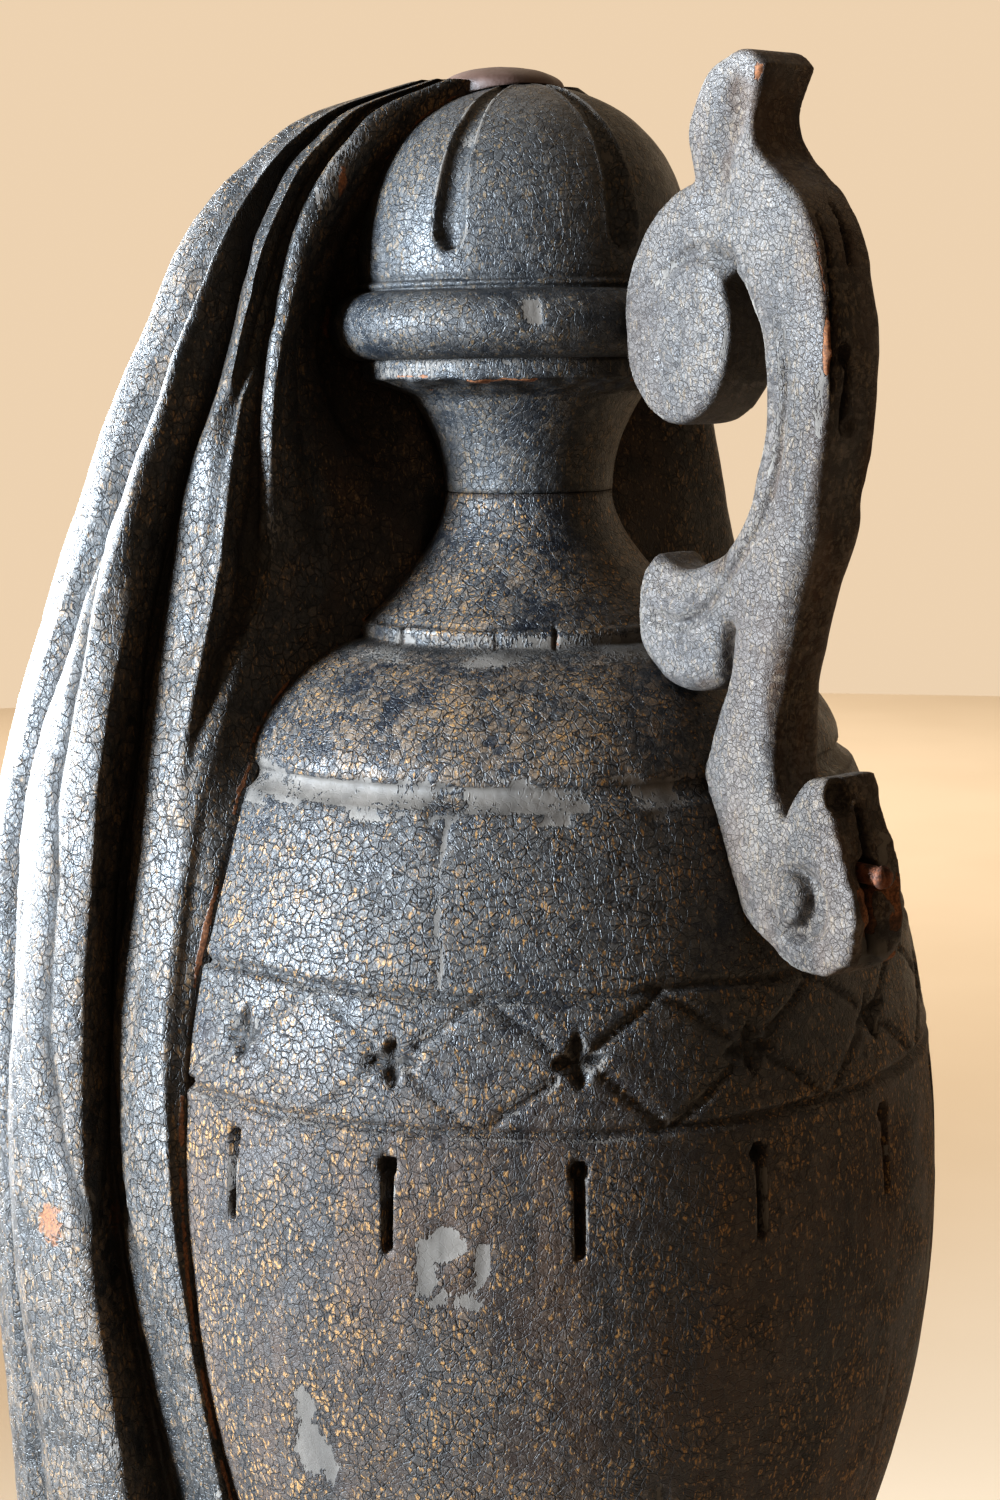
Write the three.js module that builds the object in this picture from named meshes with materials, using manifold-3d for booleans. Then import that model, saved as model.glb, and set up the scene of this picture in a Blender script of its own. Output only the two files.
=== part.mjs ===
// A turned and carved wooden mourning urn: a hollow vessel with a lid, half covered by a
// carved cloth, with one carved scroll handle whose lower scroll has split and broken off.
// Millimetres, +Z up, origin at the middle of the plinth's underside, +X towards the handle.

import * as THREE from 'three';
import * as BufferGeometryUtils from 'three/addons/utils/BufferGeometryUtils.js';
import Module from 'manifold-3d';

const wasm = await Module();
wasm.setup();

// Facets and fits
const turnedSides = 26;
const footSides = 24;
const buttonSides = 14;
const screwSides = 10;
const restGap = 0.3;
const clothGap = 0.4;
const handleGap = 0.4;
const screwGap = 0.35;

// Plinth: a low square block with a chamfered top edge
const plinthSide = 190;
const plinthHeight = 34;
const plinthChamfer = 6;

// Foot: a turned disc, a hollow waist and a bead under the belly
const footHeight = 76;
const footRadius = 82;
const footRimHeight = 11;
const footWaistRadius = 39;
const footBeadRadius = 52;
const footBeadHeight = 12;
const footTopRadius = 46;

// Belly: half an ellipse in profile, with the widest ring at bellyLevel
const bellyRadius = 157;
const bellyDepth = 264;
const bellyBelowSeam = 265;
const wall = 25;

// Shoulder side of the vessel, as drops below the open seam at the neck
const neckRadius = 32;
const boreRadius = 20;
const collarDrop = 46;
const collarHeight = 7;
const collarRadius = 68;
const shoulderHeight = 41;
const ledgeHeight = 9;
const ledgeStep = 6;
const ledgeHollow = 2;
const shoulderRise = 0.5;

// Cavity: a blind, rounded hollow that narrows into the bore of the neck
const cavityFloor = 2 * wall;
const cavityRoof = wall / 2;
const cavityThroat = 8;

// Carved band: two furrows round the belly, crossing lines with stars, and keyhole slots
const bandDrop = 160;
const bandHeight = 45;
const furrowWidth = 4;
const furrowDepth = 2.2;
const starCount = 15;
const starTurn = -6.5;
const starReach = 7.5;
const starWaist = 2.4;
const starDepth = 3.2;
const slotBelowBand = 14;
const slotLength = 28;
const slotTopWidth = 4.6;
const slotEndWidth = 2.4;
const slotHoleRadius = 3.7;
const slotDepth = 13;
const toolLift = 1.5;
const slotToolLift = 2.5;

// Degrees to either side of +X within which the carving shows beside the cloth
const starsWithin = 100;
const slotsWithin = 88;
const flutesWithin = 100;

// Lid, as heights above the seam: neck, undercut, fillet, thick roll, thin band, fluted dome
const lidNeckHeight = 36;
const lidNeckFlare = 12.3;
const undercutHeight = 6;
const filletRadius = 61.7;
const filletHeight = 7;
const rollRadius = 74;
const rollThickness = 24.5;
const domeRadius = 62.6;
const domeBandHeight = 3.5;
const domeHeight = 72;
const fluteCount = 6;
const fluteTurn = -2;
const fluteWidth = 11;
const fluteTopWidth = 5;
const fluteDepth = 4.5;
const fluteRise = 14;
const fluteTopDrop = 4;
const fluteTopDepth = 2;

// Button at the crown
const buttonRadius = 23.5;
const buttonOffset = 14;
const buttonCap = 7.5;
const buttonRise = 7.5;
const buttonRoot = 18;

// Cloth: how far it stands out from the belly, where its crown and hem are
const clothSpread = 59;
const clothCrown = 1.2;
const hemHeight = 190;
const hemUndercut = 32;
const hemTuck = 0.65;
const hemWave = 8;
const hemWaves = 9;
const hemSolid = 60;
const clothLevels = 16;
const clothStepPower = 1.6;
const clothCore = 4;
const edgeSink = 6;
const backFolds = 3;
const backFoldPitch = 20;
const backFoldDepth = 0.075;

// Handle: a carved board that stands upright on the belly, its faces square to Y
const boardThickness = 27;
const boardChamfer = 1.6;
const scrollRadius = 27;
const carvingDepth = 2.8;
const bossRadius = 7.5;
const bossHollowWidth = 8;
const edgeLineWidth = 3.2;
const screwRadius = 4;
const screwLength = 16;
const screwShow = 1.6;

// Levels that follow from the sizes above
const footBase = plinthHeight + restGap;
const bellyBase = footBase + footHeight + restGap;
const bellyLevel = bellyBase + bellyDepth * Math.sqrt(1 - (footTopRadius / bellyRadius) ** 2);
const seam = bellyLevel + bellyBelowSeam;
const ledgeTop = seam - collarDrop - collarHeight - shoulderHeight;
const ledgeBase = ledgeTop - ledgeHeight;
const bandTop = seam - bandDrop;
const bandBase = bandTop - bandHeight;
const lidBase = seam + restGap;
const filletBase = lidBase + lidNeckHeight + undercutHeight;
const rollBase = filletBase + filletHeight;
const domeBase = rollBase + rollThickness + domeBandHeight;
const crown = domeBase + domeHeight;

function bellyAt(z) {
  return bellyRadius * Math.sqrt(Math.max(0, 1 - ((z - bellyLevel) / bellyDepth) ** 2));
}

function domeAt(z) {
  const rise = THREE.MathUtils.clamp((z - domeBase) / domeHeight, 0, 1);
  return domeRadius * Math.sqrt(1 - rise ** 2.5);
}

// Solids from geometries, and back

function toSolid(geometry) {
  const plain = geometry.index ? geometry.toNonIndexed() : geometry.clone();
  plain.deleteAttribute('normal');
  plain.deleteAttribute('uv');
  const merged = BufferGeometryUtils.mergeVertices(plain, 1e-4);
  const triangles = [];
  for (let i = 0; i < merged.index.count; i += 3) {
    const [a, b, c] = [0, 1, 2].map((k) => merged.index.getX(i + k));
    if (a !== b && b !== c && c !== a) triangles.push(a, b, c);
  }
  const mesh = new wasm.Mesh({
    numProp: 3,
    vertProperties: new Float32Array(merged.attributes.position.array),
    triVerts: new Uint32Array(triangles),
  });
  return new wasm.Manifold(mesh);
}

function toGeometry(solid) {
  const mesh = solid.getMesh();
  const geometry = new THREE.BufferGeometry();
  geometry.setAttribute('position', new THREE.BufferAttribute(mesh.vertProperties, 3));
  geometry.setIndex(new THREE.BufferAttribute(mesh.triVerts, 1));
  geometry.computeVertexNormals();
  return geometry;
}

// A turned piece: its profile is a list of [radius, height] that starts and ends on the axis
function turned(profile, sides = turnedSides) {
  const points = profile.map(([r, z]) => new THREE.Vector2(r, z));
  return new THREE.LatheGeometry(points, sides).rotateX(Math.PI / 2);
}

// The same profile, moved out by a gap, for cutting what fits around it
function grown(profile, gap) {
  return profile.map(([r, z], i) => {
    const before = profile[Math.max(0, i - 1)];
    const after = profile[Math.min(profile.length - 1, i + 1)];
    const along = new THREE.Vector2(after[0] - before[0], after[1] - before[1]).normalize();
    return [r < 1e-6 ? 0 : r + along.y * gap, z - along.x * gap];
  });
}

// A board: an outline in X and Z, with its thickness along Y and centred on y = middle
function board(shape, thickness, middle, chamfer = 0, curveSegments = 1) {
  const geometry = new THREE.ExtrudeGeometry(shape, {
    depth: thickness - 2 * chamfer,
    curveSegments,
    bevelEnabled: chamfer > 0,
    bevelThickness: chamfer,
    bevelSize: chamfer,
    bevelOffset: -chamfer,
    bevelSegments: 1,
  });
  geometry.translate(0, 0, chamfer - thickness / 2);
  geometry.rotateX(Math.PI / 2);
  return geometry.translate(0, middle, 0);
}

// Rings of points from the top down, each counterclockwise from above, joined into one body
function loft(rings) {
  const count = rings[0].length;
  const positions = [];
  const put = (...corners) => corners.forEach((p) => positions.push(p.x, p.y, p.z));
  for (let j = 0; j + 1 < rings.length; j += 1) {
    for (let i = 0; i < count; i += 1) {
      const next = (i + 1) % count;
      put(rings[j][i], rings[j + 1][i], rings[j + 1][next]);
      put(rings[j][i], rings[j + 1][next], rings[j][next]);
    }
  }
  const cap = (ring, up) => {
    const flat = ring.map((p) => new THREE.Vector2(p.x, p.y));
    for (const [a, b, c] of THREE.ShapeUtils.triangulateShape(flat, [])) {
      if (up) put(ring[a], ring[b], ring[c]);
      else put(ring[a], ring[c], ring[b]);
    }
  };
  cap(rings[0], true);
  cap(rings[rings.length - 1], false);
  const geometry = new THREE.BufferGeometry();
  geometry.setAttribute('position', new THREE.Float32BufferAttribute(positions, 3));
  return geometry;
}

// A point at an angle in degrees from +X
function around(angle, radius, z) {
  const turn = THREE.MathUtils.degToRad(angle);
  return new THREE.Vector3(radius * Math.cos(turn), radius * Math.sin(turn), z);
}

// A smooth value between stations, whose places must rise
function through(places, values, at) {
  return new THREE.CubicInterpolant(places, values, 1).evaluate(at)[0];
}

// Profiles

function vesselOutline() {
  const profile = [[0, bellyBase], [footTopRadius, bellyBase]];
  const bellySteps = 8;
  const lowest = Math.acos(footTopRadius / bellyRadius);
  for (let i = 1; i < bellySteps; i += 1) {
    const angle = -lowest * (1 - i / bellySteps);
    profile.push([bellyRadius * Math.cos(angle), bellyLevel + bellyDepth * Math.sin(angle)]);
  }
  profile.push([bellyRadius, bellyLevel]);
  for (const z of [bandBase, (bandBase + bandTop) / 2, bandTop, (bandTop + ledgeBase) / 2, ledgeBase]) {
    profile.push([bellyAt(z), z]);
  }
  const shoulderRadius = bellyAt(ledgeBase) - ledgeStep;
  const shoulderSteps = 4;
  for (let i = 0; i <= shoulderSteps; i += 1) {
    const out = Math.sin((1 - i / shoulderSteps) * Math.PI / 2);
    const round = 1 - Math.sqrt(1 - out * out);
    const drop = shoulderHeight * (round + out ** 1.5) / 2;
    profile.push([collarRadius + 1 + (shoulderRadius - collarRadius - 1) * out,
      seam - collarDrop - collarHeight - drop]);
  }
  profile.push([collarRadius, seam - collarDrop - collarHeight + shoulderRise]);
  profile.push([collarRadius, seam - collarDrop]);
  const neckSteps = 4;
  for (let i = neckSteps - 0.35; i >= 0; i -= 1) {
    const share = i / neckSteps;
    profile.push([neckRadius + (collarRadius - 2 - neckRadius) * share ** 1.75, seam - collarDrop * share]);
  }
  profile.push([neckRadius, seam]);
  return profile;
}

function lidOutline() {
  const neckTop = neckRadius + lidNeckFlare;
  const profile = [[neckRadius, lidBase]];
  for (const share of [0.35, 0.7, 1]) {
    profile.push([neckRadius + lidNeckFlare * share ** 2, lidBase + lidNeckHeight * share]);
  }
  profile.push([(neckTop + filletRadius) / 2 + 3, filletBase - 1.5]);
  profile.push([filletRadius, filletBase]);
  profile.push([filletRadius, rollBase]);
  const rollSteps = 6;
  for (let i = 1; i < rollSteps; i += 1) {
    const angle = (i / rollSteps - 0.5) * Math.PI;
    profile.push([rollRadius - rollThickness / 2 * (1 - Math.cos(angle)),
      rollBase + rollThickness / 2 * (1 + Math.sin(angle))]);
  }
  profile.push([domeRadius, domeBase - domeBandHeight]);
  const domeSteps = 6;
  for (let i = 0; i < domeSteps; i += 1) {
    const z = domeBase + domeHeight * Math.sin(i / domeSteps * Math.PI / 2);
    profile.push([domeAt(z), z]);
  }
  profile.push([0, crown]);
  return profile;
}

// The outside of the vessel and its lid together, without the carving
function urnEnvelope(gap) {
  const whole = [...vesselOutline().slice(0, -1), ...lidOutline()];
  return toSolid(turned(grown(whole, gap)));
}

function urnRadiusAt(z) {
  const outline = [...vesselOutline(), ...lidOutline()];
  for (let i = 1; i < outline.length; i += 1) {
    const [[r0, z0], [r1, z1]] = [outline[i - 1], outline[i]];
    if (z >= z0 && z <= z1 && z1 > z0) return r0 + (r1 - r0) * (z - z0) / (z1 - z0);
  }
  return 0;
}

// Carving tools

// A three-sided furrow between two points of the surface
function furrow(from, to, width, depth) {
  const ends = [from, to].map((p) => {
    const out = new THREE.Vector3(p.x, p.y, 0).normalize();
    const along = to.clone().sub(from).normalize();
    const across = new THREE.Vector3().crossVectors(along, out).multiplyScalar(width);
    const top = p.clone().addScaledVector(out, toolLift);
    return [top.clone().add(across), p.clone().addScaledVector(out, -depth), top.clone().sub(across)];
  });
  return directed([ends[0], ends[1]]);
}

// A body lofted between convex rings, each closed by a fan, turned inside out where needed
function directed(rings) {
  const count = rings[0].length;
  const positions = [];
  const put = (...corners) => corners.forEach((p) => positions.push(p.x, p.y, p.z));
  for (let j = 0; j + 1 < rings.length; j += 1) {
    for (let i = 0; i < count; i += 1) {
      const next = (i + 1) % count;
      put(rings[j][i], rings[j][next], rings[j + 1][next]);
      put(rings[j][i], rings[j + 1][next], rings[j + 1][i]);
    }
  }
  const last = rings[rings.length - 1];
  for (let i = 1; i + 1 < count; i += 1) {
    put(rings[0][0], rings[0][i + 1], rings[0][i]);
    put(last[0], last[i], last[i + 1]);
  }
  const geometry = new THREE.BufferGeometry();
  geometry.setAttribute('position', new THREE.Float32BufferAttribute(positions, 3));
  const solid = toSolid(geometry);
  if (solid.volume() > 0) return solid;
  for (let i = 0; i < positions.length; i += 9) {
    for (let k = 0; k < 3; k += 1) {
      [positions[i + k], positions[i + 3 + k]] = [positions[i + 3 + k], positions[i + k]];
    }
  }
  geometry.setAttribute('position', new THREE.Float32BufferAttribute(positions, 3));
  return toSolid(geometry);
}

// A four-pointed star, sunk to a point
function starCut(angle, z) {
  const radius = bellyAt(z);
  const points = 8;
  const rings = [[toolLift, 1], [-starDepth, 0.08]].map(([out, share]) => {
    return Array.from({ length: points }, (_, i) => {
      const reach = (i % 2 ? starWaist : starReach) * share;
      const turn = i / points * 2 * Math.PI;
      const across = THREE.MathUtils.radToDeg(reach * Math.cos(turn) / radius);
      return around(angle + across, radius + out, z + reach * Math.sin(turn));
    });
  });
  return directed(rings);
}

// A keyhole: a round hole over a tapering slot
function slotCut(angle) {
  const top = bandBase - slotBelowBand;
  const radius = bellyAt(top - slotLength / 2);
  const shape = new THREE.Shape();
  shape.moveTo(-slotTopWidth / 2, 0);
  shape.lineTo(-slotEndWidth / 2, -slotLength);
  shape.lineTo(slotEndWidth / 2, -slotLength);
  shape.lineTo(slotTopWidth / 2, 0);
  shape.absarc(0, slotHoleRadius * 0.6, slotHoleRadius, -Math.PI / 4, Math.PI * 5 / 4, false);
  const tool = board(shape, slotDepth + 2 * slotToolLift, 0, 0, 3);
  tool.rotateZ(Math.PI / 2);
  tool.translate(radius + slotToolLift - slotDepth / 2, 0, top);
  return toSolid(tool.rotateZ(THREE.MathUtils.degToRad(angle)));
}

// A flute of the dome: wide and round at its foot, narrow at the crown
function fluteCut(angle) {
  const steps = 5;
  const rings = [];
  for (let i = 0; i <= steps; i += 1) {
    const share = i / steps;
    const z = domeBase + fluteRise + (domeHeight - fluteRise - fluteTopDrop) * Math.sin(share * Math.PI / 2);
    const slope = Math.atan2(domeAt(z - 1) - domeAt(z + 1), 2);
    const width = THREE.MathUtils.lerp(fluteWidth, fluteTopWidth, share) / 2 * (i ? 1 : 0.55);
    const depth = THREE.MathUtils.lerp(fluteDepth, fluteTopDepth, share) * (i ? 1 : 0.4);
    const out = (d) => [domeAt(z) + d * Math.cos(slope), z + d * Math.sin(slope)];
    rings.push([[-1.15, 2], [-0.75, -0.75 * depth], [0, -depth], [0.75, -0.75 * depth], [1.15, 2]].map(
      ([side, d]) => {
        const [r, level] = out(d);
        return around(angle, r, level).add(around(angle + 90, side * width, 0));
      },
    ));
  }
  return directed(rings);
}

// Pieces

function plinth() {
  const profile = [[0, 0], [plinthSide, 0], [plinthSide, plinthHeight - plinthChamfer],
    [plinthSide - 2 * plinthChamfer, plinthHeight], [0, plinthHeight]];
  const square = profile.map(([side, z]) => [side / Math.SQRT2, z]);
  return turned(square, 4).rotateZ(Math.PI / 4);
}

function foot() {
  const rim = footBase + footRimHeight;
  const beadBase = bellyBase - restGap - footBeadHeight - 4;
  const beadMiddle = beadBase + footBeadHeight / 2;
  const profile = [[0, footBase], [footRadius, footBase], [footRadius, rim], [footRadius - 5, rim + 3]];
  const hollowSteps = 4;
  for (let i = 1; i <= hollowSteps; i += 1) {
    const turn = i / hollowSteps * Math.PI / 2;
    profile.push([footRadius - 5 - (footRadius - 5 - footWaistRadius) * Math.sin(turn),
      beadBase - (beadBase - rim - 3) * Math.cos(turn)]);
  }
  for (let i = 0; i <= 4; i += 1) {
    const turn = (i / 4 - 0.5) * Math.PI;
    profile.push([footBeadRadius - footBeadHeight / 2 * (1 - Math.cos(turn)),
      beadMiddle + footBeadHeight / 2 * Math.sin(turn)]);
  }
  const top = bellyBase - restGap;
  profile.push([footTopRadius - 2, top - 3], [footTopRadius, top], [0, top]);
  return turned(profile, footSides);
}

function vessel() {
  const profile = [];
  for (const [r, z] of vesselOutline()) {
    const ring = Math.abs(z - bandTop) < 1e-6 || Math.abs(z - bandBase) < 1e-6;
    const shoulderFoot = Math.abs(z - ledgeTop) < 1e-6;
    if (ring) profile.push([bellyAt(z - furrowWidth / 2), z - furrowWidth / 2], [r - furrowDepth, z]);
    if (ring) profile.push([bellyAt(z + furrowWidth / 2), z + furrowWidth / 2]);
    if (shoulderFoot) profile.push([r - ledgeHollow, z - ledgeHeight * 0.35]);
    if (!ring) profile.push([r, z]);
  }
  profile.push([boreRadius, seam], [boreRadius, seam - collarDrop - collarHeight]);
  const cavityTop = seam - collarDrop - collarHeight - cavityRoof - cavityThroat;
  const cavityBase = bellyBase + cavityFloor;
  const cavitySteps = 7;
  for (let i = 0; i < cavitySteps; i += 1) {
    const z = cavityTop - (cavityTop - cavityBase) * (i / (cavitySteps - 1)) ** 0.9;
    profile.push([Math.max(boreRadius, Math.min(urnRadiusAt(z + wall / 3), urnRadiusAt(z)) - wall), z]);
  }
  profile.push([0, cavityBase]);
  let solid = toSolid(turned(profile));

  const pitch = 360 / starCount;
  const middle = (bandTop + bandBase) / 2;
  for (let i = 0; i < starCount; i += 1) {
    const angle = THREE.MathUtils.euclideanModulo(starTurn + i * pitch + 180, 360) - 180;
    if (Math.abs(angle) > starsWithin) continue;
    const star = around(angle, bellyAt(middle), middle);
    for (const side of [-1, 1]) {
      for (const level of [bandTop, bandBase]) {
        const corner = around(angle + side * pitch / 2, bellyAt(level), level);
        solid = solid.subtract(furrow(star, corner, furrowWidth / 2, furrowDepth));
      }
    }
    solid = solid.subtract(starCut(angle, middle));
    if (Math.abs(angle) < slotsWithin) solid = solid.subtract(slotCut(angle));
  }
  return toGeometry(solid);
}

function lid() {
  const base = [[0, lidBase], ...lidOutline()];
  let solid = toSolid(turned(base));
  for (let i = 0; i < fluteCount; i += 1) {
    const angle = THREE.MathUtils.euclideanModulo(fluteTurn + i * 360 / fluteCount + 180, 360) - 180;
    if (Math.abs(angle) < flutesWithin) solid = solid.subtract(fluteCut(angle));
  }
  return toGeometry(solid);
}

function buttonSolid(gap) {
  const rim = crown + buttonRise - buttonCap;
  const base = crown - buttonRoot;
  const radius = buttonRadius + gap;
  const profile = [[0, base - gap], [radius, base - gap], [radius, rim]];
  for (const turn of [0.35, 0.7, 1.1]) {
    profile.push([radius * Math.cos(turn), rim + (buttonCap + gap) * Math.sin(turn)]);
  }
  profile.push([0, rim + buttonCap + gap]);
  return toSolid(turned(profile, buttonSides)).translate([-buttonOffset, 0, 0]);
}

function button() {
  return toGeometry(buttonSolid(0).subtract(urnEnvelope(restGap)));
}

// Cloth

// Stations down the cloth, from its crown to its hem, as heights
const clothStations = [crown - 14, rollBase + 11, seam - 20, ledgeTop - 6, bandBase + 5, hemHeight];

// How far the cloth reaches out at heights above or below the seam, as shares of its widest
const clothOutline = [
  [-600, 0.94], [-500, 0.953], [-380, 0.972], [-265, 1], [-200, 0.991], [-99, 0.93], [-44, 0.852],
  [24, 0.736], [63, 0.657], [103, 0.56], [127, 0.449], [141, 0.343], [148, 0.235], [152, 0.17],
];

// Fold lines from the front edge towards the back. At each station, turn is the angle from the
// cloth's middle and reach is the share of the cloth's outline that the line stands out.
const seenFolds = [
  { turn: [78, 56, 72, 87.5, 90, 97], reach: [0.54, 0.55, 0.32, 0.617, 0.705, 0.64] },
  { turn: [79, 70, 76, 87, 90, 97.3], reach: [0.573, 0.604, 0.463, 0.647, 0.72, 0.654] },
  { turn: [80, 80, 80, 86.5, 89.7, 97.6], reach: [0.61, 0.674, 0.605, 0.677, 0.733, 0.668] },
  { turn: [79, 79, 79, 86, 89.5, 98], reach: [0.72, 0.695, 0.618, 0.697, 0.743, 0.683] },
  { turn: [75, 75, 77, 85, 89.3, 98.2], reach: [0.73, 0.715, 0.66, 0.712, 0.752, 0.692] },
  { turn: [75, 75, 81, 84, 89, 98], reach: [0.74, 0.735, 0.712, 0.726, 0.757, 0.702] },
  { turn: [74, 75, 76, 80, 84, 93], reach: [0.76, 0.76, 0.74, 0.75, 0.775, 0.712] },
  { turn: [77, 77, 70, 77, 79, 88.5], reach: [0.82, 0.785, 0.77, 0.765, 0.785, 0.715] },
  { turn: [68, 68, 68, 73, 76, 86], reach: [0.866, 0.79, 0.78, 0.771, 0.79, 0.72] },
  { turn: [69, 69, 72, 79, 80, 88], reach: [0.89, 0.83, 0.84, 0.851, 0.846, 0.84] },
  { turn: [70, 70, 72, 73, 72, 77], reach: [0.93, 0.896, 0.9, 0.91, 0.935, 0.914] },
  { turn: [65, 65, 66, 68, 66, 70], reach: [0.935, 0.917, 0.94, 0.95, 0.95, 0.94] },
];
const hiddenFolds = [
  { turn: [-66, -66, -66, -66, -66, -68], reach: [0.97, 0.97, 0.96, 0.96, 0.96, 0.95] },
  { turn: [-68, -68, -69, -72, -74, -78], reach: [0.8, 0.78, 0.78, 0.79, 0.8, 0.76] },
  { turn: [-79, -79, -80, -82, -84, -88], reach: [0.72, 0.71, 0.7, 0.75, 0.78, 0.75] },
  { turn: [-80, -80, -81, -86, -88, -92], reach: [0.61, 0.674, 0.61, 0.69, 0.745, 0.69] },
  { turn: [-78, -58, -74, -86.5, -88.5, -93], reach: [0.54, 0.56, 0.34, 0.62, 0.7, 0.63] },
];
// Where the cloth's edge meets the urn, on the seen and on the hidden side
const seenEdge = [77, 50, 70, 88, 90, 97];
const hiddenEdge = [-77, -52, -72, -87, -89, -93];

function clothRing(z) {
  const places = clothStations.map((station) => crown - station);
  const at = THREE.MathUtils.clamp(crown - z, places[0], places[places.length - 1]);
  const widest = bellyRadius + clothSpread;
  const reach = widest * through(clothOutline.map(([h]) => h), clothOutline.map(([, s]) => s), z - seam);
  const core = Math.max(clothCore, urnRadiusAt(Math.min(z, crown - 3)) - edgeSink);
  const ring = [];
  const put = (turn, radius) => ring.push(around(180 + turn, radius, z));
  const putFold = (fold) => {
    const radius = reach * through(places, fold.reach, at);
    put(through(places, fold.turn, at), Math.max(radius, core + 1));
  };
  put(through(places, seenEdge, at), core);
  seenFolds.forEach(putFold);
  for (let k = backFolds; k >= -backFolds; k -= 1) {
    put(k * backFoldPitch, reach);
    if (k > -backFolds) put((k - 0.5) * backFoldPitch, reach * (1 - backFoldDepth));
  }
  hiddenFolds.forEach(putFold);
  put(through(places, hiddenEdge, at), core);
  return ring.reverse();
}

function cloth() {
  const top = crown + clothCrown;
  const rings = [];
  for (let i = 0; i <= clothLevels; i += 1) {
    const z = top - (top - hemHeight) * (i / clothLevels) ** clothStepPower;
    rings.push(clothRing(z));
  }
  const hem = rings[rings.length - 1];
  for (const p of hem) p.z += hemWave * Math.sin(Math.atan2(p.y, p.x) * hemWaves);
  const urnRadius = urnRadiusAt(hemHeight);
  rings.push(hem.map((p) => {
    const radius = Math.hypot(p.x, p.y);
    const thickness = Math.max(0, radius - urnRadius);
    const hollow = THREE.MathUtils.clamp(thickness / hemSolid, 0.03, 1);
    const share = 1 - hemTuck * thickness * hollow / radius;
    return new THREE.Vector3(p.x * share, p.y * share, p.z + hemUndercut * hollow);
  }));
  let solid = toSolid(loft(rings));
  solid = solid.subtract(urnEnvelope(clothGap));
  solid = solid.subtract(buttonSolid(clothGap));
  return toGeometry(solid);
}

// Handle

// The middle of the upper scroll, from which the handle's outline is drawn
const scroll = { x: rollRadius + scrollRadius + 0.5, z: seam + 53 };

function smooth(shape, points) {
  shape.splineThru(points.map(([x, z]) => new THREE.Vector2(x, z)));
}

function handleOutline() {
  const shape = new THREE.Shape();
  // inner edge of the blade, sunk into the urn, and the underside of the lower scroll
  shape.moveTo(29, -95);
  smooth(shape, [[26, -110], [20, -128], [14, -152], [22, -176], [38, -193], [52, -202], [64, -206],
    [76, -206], [89, -201]]);
  // the face where the lower scroll split off
  shape.lineTo(92, -183);
  shape.lineTo(89, -167);
  shape.lineTo(83, -155);
  shape.lineTo(79, -147);
  shape.lineTo(76, -139);
  smooth(shape, [[66, -141], [59, -149], [55.5, -156]]);
  // back edge, up to the head
  smooth(shape, [[51, -145], [50, -133], [50.6, -120], [54.6, -103], [61.6, -80], [68.6, -61],
    [70.6, -47], [74.6, -25], [76, -1], [73, 17], [67.5, 35], [60, 46], [50, 54], [43, 60],
    [38.8, 67], [38.5, 75], [41.5, 82], [44.5, 88]]);
  smooth(shape, [[39, 92.5], [32.5, 94], [26, 92.5], [17.5, 89], [10.5, 81], [6.5, 71], [7, 62], [9, 54]]);
  // round the upper scroll
  smooth(shape, [[-1.5, 50], [-13.5, 42], [-21.5, 32], [-26.5, 20], [-27.5, 8], [-26, -6],
    [-19.5, -18], [-7.5, -26], [4, -26.7], [16.5, -21], [24.5, -11], [27.5, 0], [27.3, 11], [24.5, 19.5],
    [28.5, 24.5]]);
  // inner edge, down to the tip of the leaf
  smooth(shape, [[35, 18], [40.5, 9], [44.5, -3], [45.5, -18], [44.5, -31], [38, -50], [31.5, -61],
    [23.5, -68.5], [11.5, -74], [1, -76], [-6, -75], [-13.5, -71]]);
  smooth(shape, [[-20, -78], [-23.5, -91], [-21, -105], [-8, -116], [7.5, -118.5], [20, -115.5], [25, -112.5]]);
  return shape;
}

// A strip of even width along a smooth line, with square ends
function strip(points, width) {
  const curve = new THREE.SplineCurve(points.map(([x, z]) => new THREE.Vector2(x, z)));
  const steps = points.length * 2;
  const sides = [1, -1].map((side) => {
    const row = [];
    for (let i = 0; i <= steps; i += 1) {
      const tangent = curve.getTangent(i / steps);
      const normal = new THREE.Vector2(-tangent.y, tangent.x).multiplyScalar(side * width / 2);
      row.push(curve.getPoint(i / steps).add(normal));
    }
    return row;
  });
  return new THREE.Shape([...sides[0], ...sides[1].reverse()]);
}

function handleCarving() {
  const crescent = new THREE.Shape();
  crescent.moveTo(-6, 22);
  smooth(crescent, [[6, 29.5], [17, 31.5], [26, 28]]);
  crescent.lineTo(26, 18);
  smooth(crescent, [[16, 27], [3, 26], [-6, 22]]);
  const edgeLine = strip([[54, 6], [57, -13], [56, -25], [53, -40], [48, -54], [37, -69], [26, -80],
    [15, -91], [4, -95], [-9, -94]],
    edgeLineWidth);
  const bossHollow = new THREE.Shape();
  bossHollow.absarc(62, -182, bossRadius + bossHollowWidth, 1.9, -1.4, true);
  bossHollow.absarc(59, -183, bossRadius, -1.2, 1.7, false);
  return [crescent, edgeLine, bossHollow];
}

function placeHandle(geometry) {
  return geometry.translate(scroll.x, 0, scroll.z);
}

// The screw lies along X in the broken face
function screwSolid(gap) {
  const tip = { x: scroll.x + 92 + screwShow, z: scroll.z - 171 };
  const geometry = new THREE.CylinderGeometry(screwRadius + gap, screwRadius + gap, screwLength + gap,
    screwSides);
  geometry.rotateZ(Math.PI / 2);
  return toSolid(geometry.translate(tip.x - (screwLength + gap) / 2, 0, tip.z));
}

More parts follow.
